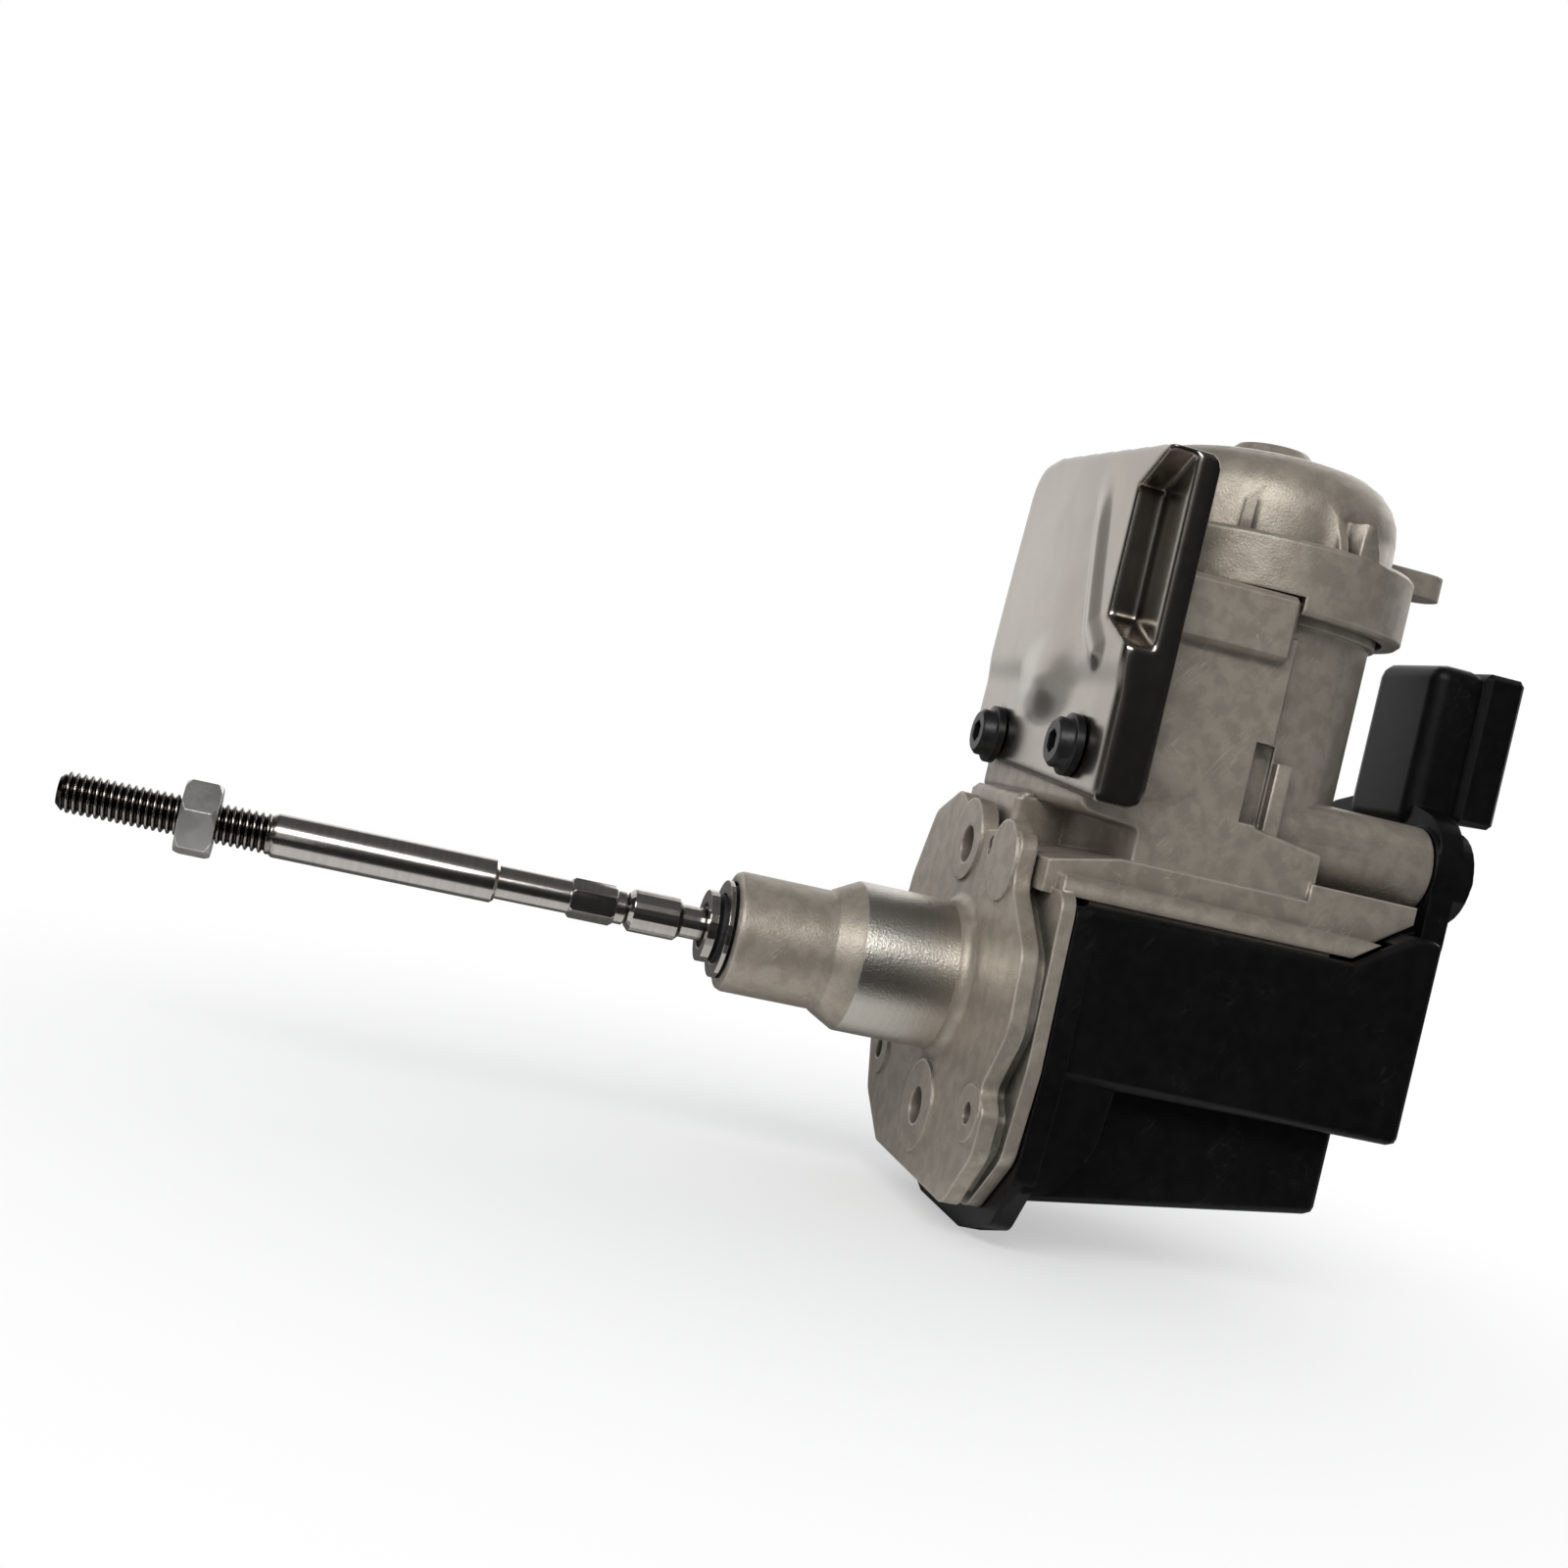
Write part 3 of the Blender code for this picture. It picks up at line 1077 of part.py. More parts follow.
def armature_outline():
    """Lamination with a slot between each pair of poles."""
    points = []
    step = 2 * pi / ARMATURE_SLOTS
    for i in range(ARMATURE_SLOTS):
        a = i * step
        for part in (-0.42, -0.21, 0.0, 0.21, 0.42):
            points.append((ARMATURE_R * cos(a + part * step), ARMATURE_R * sin(a + part * step)))
        for part, share in ((0.44, 0.86), (0.34, 0.80), (0.34, 0.48),
                            (0.66, 0.48), (0.66, 0.80), (0.56, 0.86)):
            r = share * ARMATURE_R
            points.append((r * cos(a + part * step), r * sin(a + part * step)))
    return points


def motor_can(place):
    """Steel cup, open at the bottom, with a bearing seat in its closed end."""
    rim = CAN_BASE_Z + 0.0030
    inner = CAN_R - CAN_WALL
    can = turned("motor_can", [
        (0.0062, CAN_TOP_Z), (CAN_R - 0.0012, CAN_TOP_Z), (CAN_R, CAN_TOP_Z - 0.0012), (CAN_R, rim),
        (inner, rim), (inner, CAN_TOP_Z - CAN_WALL), (0.0062, CAN_TOP_Z - CAN_WALL)],
        place, 48, closed=True)
    as_node(can, "motor_can", material("can_steel", (0.42, 0.42, 0.43), 0.35, 1))


def motor_bearings(place):
    top = CAN_TOP_Z - CAN_WALL - 0.0040
    bronze = material("bearing_bronze", (0.52, 0.39, 0.24), 0.4, 1)
    bore = MOTOR_SHAFT_R + SLIDE_GAP
    tube("motor_bearing_top", bronze, bore, 0.0062 - SEAT_GAP, top, CAN_TOP_Z, 24, place)
    tube("motor_bearing_bottom", bronze.copy(), bore, 0.0050 - SEAT_GAP,
         SHELF_BOTTOM_Z + 0.0005, SHELF_BOTTOM_Z + 0.0050, 24, place)


def field_magnet(name, angle):
    """Curved ferrite segment that sits against the can's wall."""
    outer, inner = CAN_R - CAN_WALL - SEAT_GAP, ARMATURE_R + 0.0007
    arc = [(outer * cos(angle + a), outer * sin(angle + a)) for a in spread(-1.15, 1.15, 10)]
    arc += [(inner * cos(angle + a), inner * sin(angle + a)) for a in spread(1.15, -1.15, 10)]
    low = armature_base() - 0.0015
    magnet = extruded(name, arc, low, low + ARMATURE_LENGTH + 0.0040, PLANE_XY)
    magnet.location = (MOTOR_X, 0, 0)
    as_node(magnet, name, material("ferrite", (0.09, 0.09, 0.10), 0.6, 0.2))


def brush_gear(place):
    """Ring-shaped card under the can and the two carbon brushes above it."""
    low, high = MOTOR_FLOOR_Z + SEAT_GAP, CAN_BASE_Z + 0.0030 - SEAT_GAP
    tube("brush_card", material("card_polymer", (0.16, 0.10, 0.07), 0.6, 0), 0.0056,
         CAN_R - 0.0004, low, high, 40, place)
    for name, side in (("motor_brush_near", -1), ("motor_brush_far", 1)):
        y0, y1 = sorted((side * (COMMUTATOR_R + SEAT_GAP), side * 0.0115))
        brush = block(name, (MOTOR_X - 0.0018, y0, MOTOR_FLOOR_Z + 0.0044),
                      (MOTOR_X + 0.0018, y1, MOTOR_FLOOR_Z + 0.0084))
        as_node(brush, name, material("carbon", (0.05, 0.05, 0.05), 0.7, 0.1))


def rotor_pieces(rotor):
    """What turns with the motor: laminations, commutator and shaft."""
    bore = MOTOR_SHAFT_R + SLIDE_GAP
    base = armature_base()
    core = extruded("armature", armature_outline(), base, base + ARMATURE_LENGTH, PLANE_XY)
    cut(core, rod_solid("armature_bore", (0, 0, 0), (0, 0, CAN_TOP_Z), bore, sides=20))
    as_node(core, "armature", material("lamination", (0.30, 0.29, 0.28), 0.45, 1), rotor)
    drum = rod_solid("commutator", (0, 0, MOTOR_FLOOR_Z + 0.0036), (0, 0, base - 0.0034),
                     COMMUTATOR_R, sides=24)
    cut(drum, rod_solid("drum_bore", (0, 0, 0), (0, 0, CAN_TOP_Z), bore, sides=20))
    as_node(drum, "commutator", material("copper", (0.65, 0.33, 0.20), 0.3, 1), rotor)
    shaft = rod_solid("motor_shaft", (0, 0, FIRST_LAYER_Z - 0.0008), (0, 0, CAN_TOP_Z - 0.0006),
                      MOTOR_SHAFT_R, sides=20)
    as_node(shaft, "motor_shaft", steel("motor_shaft_steel"), rotor)


def electric_motor(rotor):
    place = Matrix.Translation((MOTOR_X, 0, 0))
    motor_can(place)
    motor_bearings(place)
    field_magnet("field_magnet_left", pi)
    field_magnet("field_magnet_right", 0.0)
    brush_gear(place)
    rotor_pieces(rotor)


def spread(start, end, count):
    return [start + (end - start) * i / count for i in range(count + 1)]


# Small pieces inside the gear case

def case_pieces(idler, output):
    pin = rod_solid("idler_pin", (*idler, 0.0046), (*idler, SHELF_BOTTOM_Z + 0.0060), IDLER_PIN_R,
                    sides=20)
    as_node(pin, "idler_pin", steel("pin_steel"))
    at_idler = Matrix.Translation((*idler, 0))
    tube("idler_clip", steel("clip_steel"), IDLER_PIN_R + SLIDE_GAP, 0.0034, 0.0050, 0.0058, 20,
         at_idler)
    at_output = Matrix.Translation((*output, 0))
    bronze = material("output_bronze", (0.55, 0.40, 0.22), 0.35, 1)
    tube("output_bearing_upper", bronze, OUTPUT_SHAFT_R + SLIDE_GAP, BEARING_R,
         SHELF_BOTTOM_Z + 0.0004, SHELF_BOTTOM_Z + 0.0054, 24, at_output)
    tube("output_bearing_lower", bronze.copy(), OUTPUT_SHAFT_R + SLIDE_GAP, BEARING_R - 0.0006,
         -0.0132, -0.0080, 24, at_output)
    yoke = block("rack_guide", (0.0180, -0.0110, -0.0050),
                 (0.0290, RACK_BACK_Y - SLIDE_GAP * 2, 0.0050), 0.0008, 1)
    as_node(yoke, "rack_guide", material("guide_polymer", (0.75, 0.73, 0.66), 0.5, 0))
    board = block("sensor_board", (0.0330, -0.0158, -0.0070), (0.0545, -0.0142, 0.0125))
    as_node(board, "sensor_board", material("board_green", (0.03, 0.16, 0.07), 0.45, 0))
    chip = block("hall_sensor", (0.0420, -0.0142 + SEAT_GAP, -0.0024),
                 (0.0466, -0.0122, 0.0024), 0.0002, 1)
    as_node(chip, "hall_sensor", material("chip_epoxy", (0.03, 0.03, 0.03), 0.5, 0))


def build():
    places = gear_places()
    motor, idler, output = places
    rod = empty("rod_axis", (0, 0, 0))
    rotor = empty("motor_axis", (*motor, 0))
    idler_axis = empty("idler_axis", (*idler, 0))
    output_axis = empty("output_axis", (*output, 0))
    tip = adjusting_rod(rod)[1]
    lock_nut(rod, tip)
    rack_rod(rod)
    magnet_carrier(rod)
    motor_pinion(rotor, motor, idler)
    intermediate_gear(idler_axis, motor, idler, output)
    output_wheel(output_axis, idler, output)
    output_shaft(output_axis)
    gear_housing(places)
    motor_end_cap()
    cap_seal_ring()
    heat_shield()
    shield_screw("shield_screw_near", -1)
    shield_screw("shield_screw_far", 1)
    gear_cover(output)
    for i in range(PIN_COUNT):
        terminal_pin(i)
    ear_seat = COVER_X + COVER_RIM_T + 0.0010 + SEAT_GAP
    for name, (y, z) in zip(("cover_screw_far", "cover_screw_near"), COVER_SCREW_PLACES):
        socket_screw(name, ear_seat, y, z, ear_seat - 0.0008)
    for name, side in (("lug_screw_near", -1), ("lug_screw_far", 1)):
        socket_screw(name, SCREW_BOSS_X + SEAT_GAP, side * LUG_Y, LUG_Z, 0.0190)
    rod_guides()
    electric_motor(rotor)
    case_pieces(idler, output)


clear_scene()
PARTS = new_collection("wastegate_actuator")
TOOLS = new_collection("cutters_and_guides")
build()
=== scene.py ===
# %% [markdown]
# # An electric wastegate actuator, dressed for its photograph
# The real part hangs on a turbocharger. An electric motor under a cast cap drives a small
# gear train, and the gears push a long adjustable rod out of a machined nose. The solids
# are already modelled, so this lesson is about the finish: cast, pressed, turned and
# moulded surfaces, and the few shapes that are too fine for the solids. Lengths are in
# metres, unless a name says otherwise.

# %% Load the solid model
import bpy
import bmesh
import json
from math import cos, hypot, pi, radians, sin
from mathutils import Matrix, Vector


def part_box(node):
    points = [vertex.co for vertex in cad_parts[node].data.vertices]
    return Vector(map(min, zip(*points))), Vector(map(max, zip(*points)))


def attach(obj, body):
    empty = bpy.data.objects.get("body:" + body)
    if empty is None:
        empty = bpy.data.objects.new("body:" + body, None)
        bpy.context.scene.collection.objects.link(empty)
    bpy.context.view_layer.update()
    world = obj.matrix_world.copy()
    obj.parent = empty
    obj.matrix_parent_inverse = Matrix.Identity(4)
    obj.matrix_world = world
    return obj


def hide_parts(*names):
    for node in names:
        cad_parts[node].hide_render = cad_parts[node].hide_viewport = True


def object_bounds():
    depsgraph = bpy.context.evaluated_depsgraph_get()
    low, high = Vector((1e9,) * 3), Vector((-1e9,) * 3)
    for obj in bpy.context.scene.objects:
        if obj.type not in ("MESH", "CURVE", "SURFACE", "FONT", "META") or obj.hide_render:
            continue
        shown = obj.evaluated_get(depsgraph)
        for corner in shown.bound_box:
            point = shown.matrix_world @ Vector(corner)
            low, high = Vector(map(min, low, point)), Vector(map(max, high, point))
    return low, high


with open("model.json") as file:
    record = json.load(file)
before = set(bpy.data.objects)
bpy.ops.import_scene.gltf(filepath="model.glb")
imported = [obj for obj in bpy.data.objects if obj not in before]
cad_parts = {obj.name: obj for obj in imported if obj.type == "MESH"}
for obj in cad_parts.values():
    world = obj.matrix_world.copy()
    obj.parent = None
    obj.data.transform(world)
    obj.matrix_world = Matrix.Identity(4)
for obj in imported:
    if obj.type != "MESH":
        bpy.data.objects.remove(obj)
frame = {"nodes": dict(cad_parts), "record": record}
cad_box = [list(corner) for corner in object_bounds()]
NODES = frame["nodes"]
print("solids:", len(NODES), "box in mm:", [[round(v * 1000, 1) for v in c] for c in cad_box])

# %% [markdown]
# ## The camera
# A product picture is matched by finding where the lens stood. Here the camera stands in
# front of the near side, a little towards the rod's tip, and is rolled, so that the push
# rod rises to the left as it does in the picture. A camera's matrix holds its right, up
# and backward directions as columns.

# %% Camera at the picture's angle
LENS_MM = 47.25
SENSOR_MM = 36.0
CAMERA_PLACE = Vector((-0.0987, -0.3056, 0.0290))
CAMERA_RIGHT = Vector((0.9528, -0.2037, 0.2249))
CAMERA_UP = Vector((-0.2162, 0.0645, 0.9742))


def photo_camera():
    """The picture's camera, placed by its matrix and made the scene's camera."""
    lens = bpy.data.cameras.new("photo_camera")
    lens.lens = LENS_MM
    lens.sensor_width = SENSOR_MM
    lens.clip_start = 0.01
    camera = bpy.data.objects.new("photo_camera", lens)
    bpy.context.scene.collection.objects.link(camera)
    right = CAMERA_RIGHT.normalized()
    back = right.cross(CAMERA_UP).normalized()
    up = back.cross(right)
    turn = Matrix((right, up, back)).transposed().to_4x4()
    camera.matrix_world = Matrix.Translation(CAMERA_PLACE) @ turn
    bpy.context.scene.camera = camera
    return camera


camera = photo_camera()
print("camera at", [round(v, 3) for v in camera.location])

# %% [markdown]
# ## Helpers for node trees
# Every finish below is a small node tree. One helper adds a node with its options and input
# values, and a second one joins two sockets. Two more make masks, and the last two make a
# node group and put it into a material, so that each tree reads like a recipe.

# %% Node helpers
LIBRARY = bpy.data.node_groups


def add(tree, kind, options=None, **values):
    """Adds one node, sets its options and fills in its inputs by name."""
    node = tree.nodes.new("ShaderNode" + kind)
    for key, value in (options or {}).items():
        setattr(node, key, value)
    for key, value in values.items():
        node.inputs[key.replace("_", " ")].default_value = value
    return node


def wire(tree, source, target):
    """Leads an output socket into an input socket."""
    tree.links.new(source, target)


def contrast(tree, value, low, high):
    """Rises softly from 0 at low to 1 at high, or falls where low is the larger one."""
    spread = add(tree, "MapRange", {"interpolation_type": "SMOOTHSTEP"})
    spread.inputs["From Min"].default_value = low
    spread.inputs["From Max"].default_value = high
    wire(tree, value, spread.inputs["Value"])
    return spread.outputs["Result"]


def product(tree, first, second):
    """Multiplies two masks, so that only what both of them cover is left."""
    both = add(tree, "Math", {"operation": "MULTIPLY"})
    wire(tree, first, both.inputs[0])
    wire(tree, second, both.inputs[1])
    return both.outputs[0]


def group_tree(name, inputs, outputs):
    """A shader node group with float or vector inputs and named outputs."""
    tree = LIBRARY.new(name, "ShaderNodeTree")
    for label, kind, value in inputs:
        socket = tree.interface.new_socket(label, in_out="INPUT", socket_type=kind)
        socket.default_value = value
    for label, kind in outputs:
        tree.interface.new_socket(label, in_out="OUTPUT", socket_type=kind)
    start = tree.nodes.new("NodeGroupInput")
    end = tree.nodes.new("NodeGroupOutput")
    return tree, start, end


def place_group(tree, name, **values):
    """Puts one of the groups into a material, with its own values."""
    node = tree.nodes.new("ShaderNodeGroup")
    node.node_tree = LIBRARY[name]
    for key, value in values.items():
        node.inputs[key.replace("_", " ")].default_value = value
    return node


print("helpers ready")

# %% [markdown]
# ## Soft edges and worn edges
# Solids from a modeller have knife edges, but a casting or a moulding never has. The Bevel
# node rounds the shading normal near each edge. Where that rounded normal turns away from
# the true one, the surface is an edge, and that difference makes a mask for wear.

# %% Group: soft_edge
EDGE_START = 0.995
EDGE_FULL = 0.90


def build_soft_edge():
    tree, start, end = group_tree(
        "soft_edge", [("Radius", "NodeSocketFloat", 0.0004)],
        [("Normal", "NodeSocketVector"), ("Edge", "NodeSocketFloat")])
    bevel = add(tree, "Bevel", {"samples": 6})
    shape = add(tree, "NewGeometry")
    dot = add(tree, "VectorMath", {"operation": "DOT_PRODUCT"})
    wire(tree, start.outputs["Radius"], bevel.inputs["Radius"])
    wire(tree, bevel.outputs["Normal"], dot.inputs[0])
    wire(tree, shape.outputs["Normal"], dot.inputs[1])
    wire(tree, bevel.outputs["Normal"], end.inputs["Normal"])
    wire(tree, contrast(tree, dot.outputs["Value"], EDGE_START, EDGE_FULL), end.inputs["Edge"])
    return tree


print("group:", build_soft_edge().name)

# %% [markdown]
# ## Grain that can be stretched
# Brushing, turning and casting all leave noise, only drawn out differently. One group
# scales the position by a vector before the noise: equal values give a casting's grain,
# and one large value gives the fine rings of a lathe or the lines of a brush.

# %% Group: drawn_grain


def build_drawn_grain():
    tree, start, end = group_tree(
        "drawn_grain", [("Stretch", "NodeSocketVector", (1000.0, 1000.0, 1000.0)),
                        ("Roughness", "NodeSocketFloat", 0.6)],
        [("Height", "NodeSocketFloat"), ("Tone", "NodeSocketFloat")])
    place = add(tree, "TexCoord")
    scale = add(tree, "VectorMath", {"operation": "MULTIPLY"})
    fine = add(tree, "TexNoise", Scale=1.0, Detail=4.0)
    slow = add(tree, "TexNoise", Scale=0.13, Detail=2.0)
    wire(tree, place.outputs["Object"], scale.inputs[0])
    wire(tree, start.outputs["Stretch"], scale.inputs[1])
    for noise in (fine, slow):
        wire(tree, scale.outputs["Vector"], noise.inputs["Vector"])
    wire(tree, start.outputs["Roughness"], fine.inputs["Roughness"])
    wire(tree, fine.outputs["Fac"], end.inputs["Height"])
    wire(tree, slow.outputs["Fac"], end.inputs["Tone"])
    return tree


print("group:", build_drawn_grain().name)

# %% [markdown]
# ## Blotches and pores
# A die casting cools unevenly: its skin has pale and dark blotches a few millimetres wide,
# and small pores. A warped noise gives the blotches, and the distance from scattered
# points gives the pores.

# %% Group: cast_skin
PORE_HEART = 0.05
PORE_RIM = 0.24


def build_cast_skin():
    tree, start, end = group_tree(
        "cast_skin", [("Blotch", "NodeSocketFloat", 420.0), ("Pores", "NodeSocketFloat", 1300.0)],
        [("Blotches", "NodeSocketFloat"), ("Pore", "NodeSocketFloat")])
    place = add(tree, "TexCoord")
    blotch = add(tree, "TexNoise", Detail=6.0, Roughness=0.70, Distortion=0.5)
    pores = add(tree, "TexVoronoi", {"feature": "F1"}, Randomness=1.0)
    wire(tree, start.outputs["Blotch"], blotch.inputs["Scale"])
    wire(tree, start.outputs["Pores"], pores.inputs["Scale"])
    for texture in (blotch, pores):
        wire(tree, place.outputs["Object"], texture.inputs["Vector"])
    pit = contrast(tree, pores.outputs["Distance"], PORE_RIM, PORE_HEART)
    wire(tree, blotch.outputs["Fac"], end.inputs["Blotches"])
    wire(tree, pit, end.inputs["Pore"])
    return tree


print("group:", build_cast_skin().name)

# %% [markdown]
# ## Fine scratches
# Handling leaves hair lines that run every way. A noise that is drawn out along one slanted
# direction has long thin ridges, and only the narrow band round its middle value is kept, so
# what remains is a set of thin lines. Two directions are laid over each other, and a slow
# noise leaves them in some places only.

# %% Group: hair_lines
LINE_TURNS = ((0.4, 0.9, 0.3), (-0.7, 0.2, 1.1))
LINE_STRETCH = (45.0, 900.0, 900.0)
LINE_EDGE = 0.012
LINE_MIDDLE = 0.002
SPOT_SCALE = 160.0
SPOT_BAND = (0.52, 0.66)


def build_hair_lines():
    tree, start, end = group_tree(
        "hair_lines", [("Scale", "NodeSocketFloat", 1.0)], [("Lines", "NodeSocketFloat")])
    place = add(tree, "TexCoord")
    most = add(tree, "Math", {"operation": "MAXIMUM"})
    for socket, turn in enumerate(LINE_TURNS):
        slant = add(tree, "VectorRotate", {"rotation_type": "EULER_XYZ"}, Rotation=turn)
        draw = add(tree, "VectorMath", {"operation": "MULTIPLY"})
        draw.inputs[1].default_value = LINE_STRETCH
        noise = add(tree, "TexNoise", Detail=1.0, Roughness=0.4)
        away = add(tree, "Math", {"operation": "SUBTRACT"})
        away.inputs[1].default_value = 0.5
        size = add(tree, "Math", {"operation": "ABSOLUTE"})
        wire(tree, place.outputs["Object"], slant.inputs["Vector"])
        wire(tree, slant.outputs["Vector"], draw.inputs[0])
        wire(tree, draw.outputs["Vector"], noise.inputs["Vector"])
        wire(tree, start.outputs["Scale"], noise.inputs["Scale"])
        wire(tree, noise.outputs["Fac"], away.inputs[0])
        wire(tree, away.outputs[0], size.inputs[0])
        line = contrast(tree, size.outputs[0], LINE_EDGE, LINE_MIDDLE)
        wire(tree, line, most.inputs[socket])
    spots = add(tree, "TexNoise", Scale=SPOT_SCALE, Detail=2.0)
    wire(tree, place.outputs["Object"], spots.inputs["Vector"])
    some = contrast(tree, spots.outputs["Fac"], *SPOT_BAND)
    wire(tree, product(tree, most.outputs[0], some), end.inputs["Lines"])
    return tree


print("group:", build_hair_lines().name)

# %% [markdown]
# ## Dirt and painted shade in the corners
# Oil and dust settle where a cloth can't reach, and shade falls in the same places. Ambient
# occlusion looks for other surfaces nearby, so its dark part marks those inner corners, and
# the darkening there is partly dirt and partly painted shade.

# %% Group: corner_dirt_and_shade
OPEN_SHARE = 0.75
DEEP_SHARE = 0.25


def build_corner_dirt_and_shade():
    tree, start, end = group_tree(
        "corner_dirt_and_shade", [("Reach", "NodeSocketFloat", 0.003)], [("Dirt_and_shade", "NodeSocketFloat")])
    shade = add(tree, "AmbientOcclusion", {"samples": 6})
    wire(tree, start.outputs["Reach"], shade.inputs["Distance"])
    wire(tree, contrast(tree, shade.outputs["AO"], OPEN_SHARE, DEEP_SHARE), end.inputs["Dirt_and_shade"])
    return tree


print("group:", build_corner_dirt_and_shade().name)

# %% [markdown]
# ## One recipe for a surface
# Each finish mixes two tones of its colour by the grain, brightens or darkens the worn
# edges, and darkens the corners with dirt and painted shade. The same grain moves the
# roughness and lifts a fine bump.
# Values that are the same all over, such as Metallic, are set on the shader itself.

# %% Surface recipe
TONE_BAND = (0.38, 0.62)
DIRT_AND_SHADE_SHARE = 0.35


def blend(tree, first, second, mask, amount=1.0):
    """Mixes a second colour over a first one, by a mask that is scaled by amount."""
    strength = add(tree, "Math", {"operation": "MULTIPLY", "use_clamp": True})
    strength.inputs[1].default_value = amount
    wire(tree, mask, strength.inputs[0])
    mix = add(tree, "Mix", {"data_type": "RGBA"})
    wire(tree, strength.outputs[0], mix.inputs["Factor"])
    for socket, value in ((mix.inputs[6], first), (mix.inputs[7], second)):
        if isinstance(value, tuple):
            socket.default_value = (*value, 1.0)
        else:
            wire(tree, value, socket)
    return mix.outputs[2]


def surface(name, tone, shade, rough, stretch, metallic=0.0, worn=None, edge_radius=0.0003,
            bump=0.00002, dirt_and_shade=0.5, wear=0.5, reach=0.003):
    """A new material with grain, worn edges, and corners darkened by dirt and painted shade."""
    mat = bpy.data.materials.new(name)
    mat.use_nodes = True
    tree = mat.node_tree
    shader = tree.nodes["Principled BSDF"]
    shader.inputs["Metallic"].default_value = metallic
    grain = place_group(tree, "drawn_grain", Stretch=stretch)
    edge = place_group(tree, "soft_edge", Radius=edge_radius)
    corner = place_group(tree, "corner_dirt_and_shade", Reach=reach)
    colour = blend(tree, tone, shade, contrast(tree, grain.outputs["Tone"], *TONE_BAND))
    colour = blend(tree, colour, worn or tone, edge.outputs["Edge"], wear)
    # Inner corners are darkened, partly by dirt and partly by painted shade.
    dark = tuple(v * DIRT_AND_SHADE_SHARE for v in shade)
    colour = blend(tree, colour, dark, corner.outputs["Dirt_and_shade"], dirt_and_shade)
    finish = add(tree, "MapRange")
    finish.inputs["To Min"].default_value = rough[0]
    finish.inputs["To Max"].default_value = rough[1]
    lift = add(tree, "Bump", Strength=1.0, Distance=bump)
    wire(tree, grain.outputs["Height"], finish.inputs["Value"])
    wire(tree, grain.outputs["Height"], lift.inputs["Height"])
    wire(tree, edge.outputs["Normal"], lift.inputs["Normal"])
    wire(tree, colour, shader.inputs["Base Color"])
    wire(tree, finish.outputs["Result"], shader.inputs["Roughness"])
    wire(tree, lift.outputs["Normal"], shader.inputs["Normal"])
    return mat


def mix_value(tree, first, second, mask):
    """Leads from a first value, which a socket gives, to a second one by a mask."""
    mix = add(tree, "Mix", {"data_type": "FLOAT"})
    wire(tree, mask, mix.inputs["Factor"])
    wire(tree, first, mix.inputs[2])
    mix.inputs[3].default_value = second
    return mix.outputs[0]


def along_and_out(tree):
    """The place along the rod's axis, and the distance out from it."""
    place = add(tree, "TexCoord")
    parts = add(tree, "SeparateXYZ")
    flat = add(tree, "VectorMath", {"operation": "MULTIPLY"})
    flat.inputs[1].default_value = (0.0, 1.0, 1.0)
    reach = add(tree, "VectorMath", {"operation": "LENGTH"})
    wire(tree, place.outputs["Object"], parts.inputs[0])
    wire(tree, place.outputs["Object"], flat.inputs[0])
    wire(tree, flat.outputs["Vector"], reach.inputs[0])
    return parts.outputs["X"], reach.outputs["Value"]


def give_finish(node_name, mat):
    """Gives a solid its finish by filling all of its material slots."""
    slots = NODES[node_name].material_slots
    if not slots:
        NODES[node_name].data.materials.append(mat)
    for entry in slots:
        entry.material = mat


def socket_into(mat, label):
    """The socket that now feeds one input of a material's shader."""
    return mat.node_tree.nodes["Principled BSDF"].inputs[label].links[0].from_socket


print("surface recipe ready")

# %% [markdown]
# ## Cast aluminium with a machined seat
# The housing and the cap are die cast in aluminium and blasted, so they are matt and grey
# with a warm cast. The round seat behind the nose is turned after casting, because it
# centres the actuator, and it shines in fine rings. The seat is found by its place: near
# the rod's axis, and between the cone and the flange.

# %% Finish: cast aluminium
CAST_TONE = (0.44, 0.390, 0.325)
CAST_SHADE = (0.36, 0.317, 0.262)
CAST_WORN = (0.74, 0.68, 0.60)
CAST_BLOTCH = (0.33, 0.29, 0.24)
CAST_PORE = (0.72, 0.67, 0.59)
CAST_METALLIC = 0.60
SEAT_RADIUS = 0.0121
SEAT_FRONT_X = -0.0166
SEAT_BACK_X = -0.0022
SEAT_SOFTNESS = 0.0003
SEAT_ROUGHNESS = 0.33
SEAT_TONE = (0.74, 0.70, 0.63)
SEAT_SHADE = (0.60, 0.56, 0.50)
SEAT_RINGS = (16000, 90, 90)


def cast_aluminium(name):
    # Dirt and painted shade darken its pockets strongly, such as under the shield and round the
    # bosses.
    mat = surface(name, CAST_TONE, CAST_SHADE, (0.34, 0.54), (2600, 2600, 2600), CAST_METALLIC,
                  worn=CAST_WORN, edge_radius=0.0006, bump=0.00006, dirt_and_shade=0.95, wear=0.6,
                  reach=0.006)
    tree = mat.node_tree
    skin = place_group(tree, "cast_skin")
    colour = socket_into(mat, "Base Color")
    blotches = contrast(tree, skin.outputs["Blotches"], 0.42, 0.66)
    colour = blend(tree, colour, CAST_BLOTCH, blotches, 0.22)
    colour = blend(tree, colour, CAST_PORE, skin.outputs["Pore"], 0.22)
    scratch = place_group(tree, "hair_lines")
    colour = blend(tree, colour, CAST_WORN, scratch.outputs["Lines"], 0.35)
    wire(tree, colour, tree.nodes["Principled BSDF"].inputs["Base Color"])
    return mat


def band_mask(tree, value, low, high, soft):
    """One between low and high, zero outside, with soft ends."""
    rise = contrast(tree, value, low - soft, low)
    fall = contrast(tree, value, high + soft, high)
    return product(tree, rise, fall)


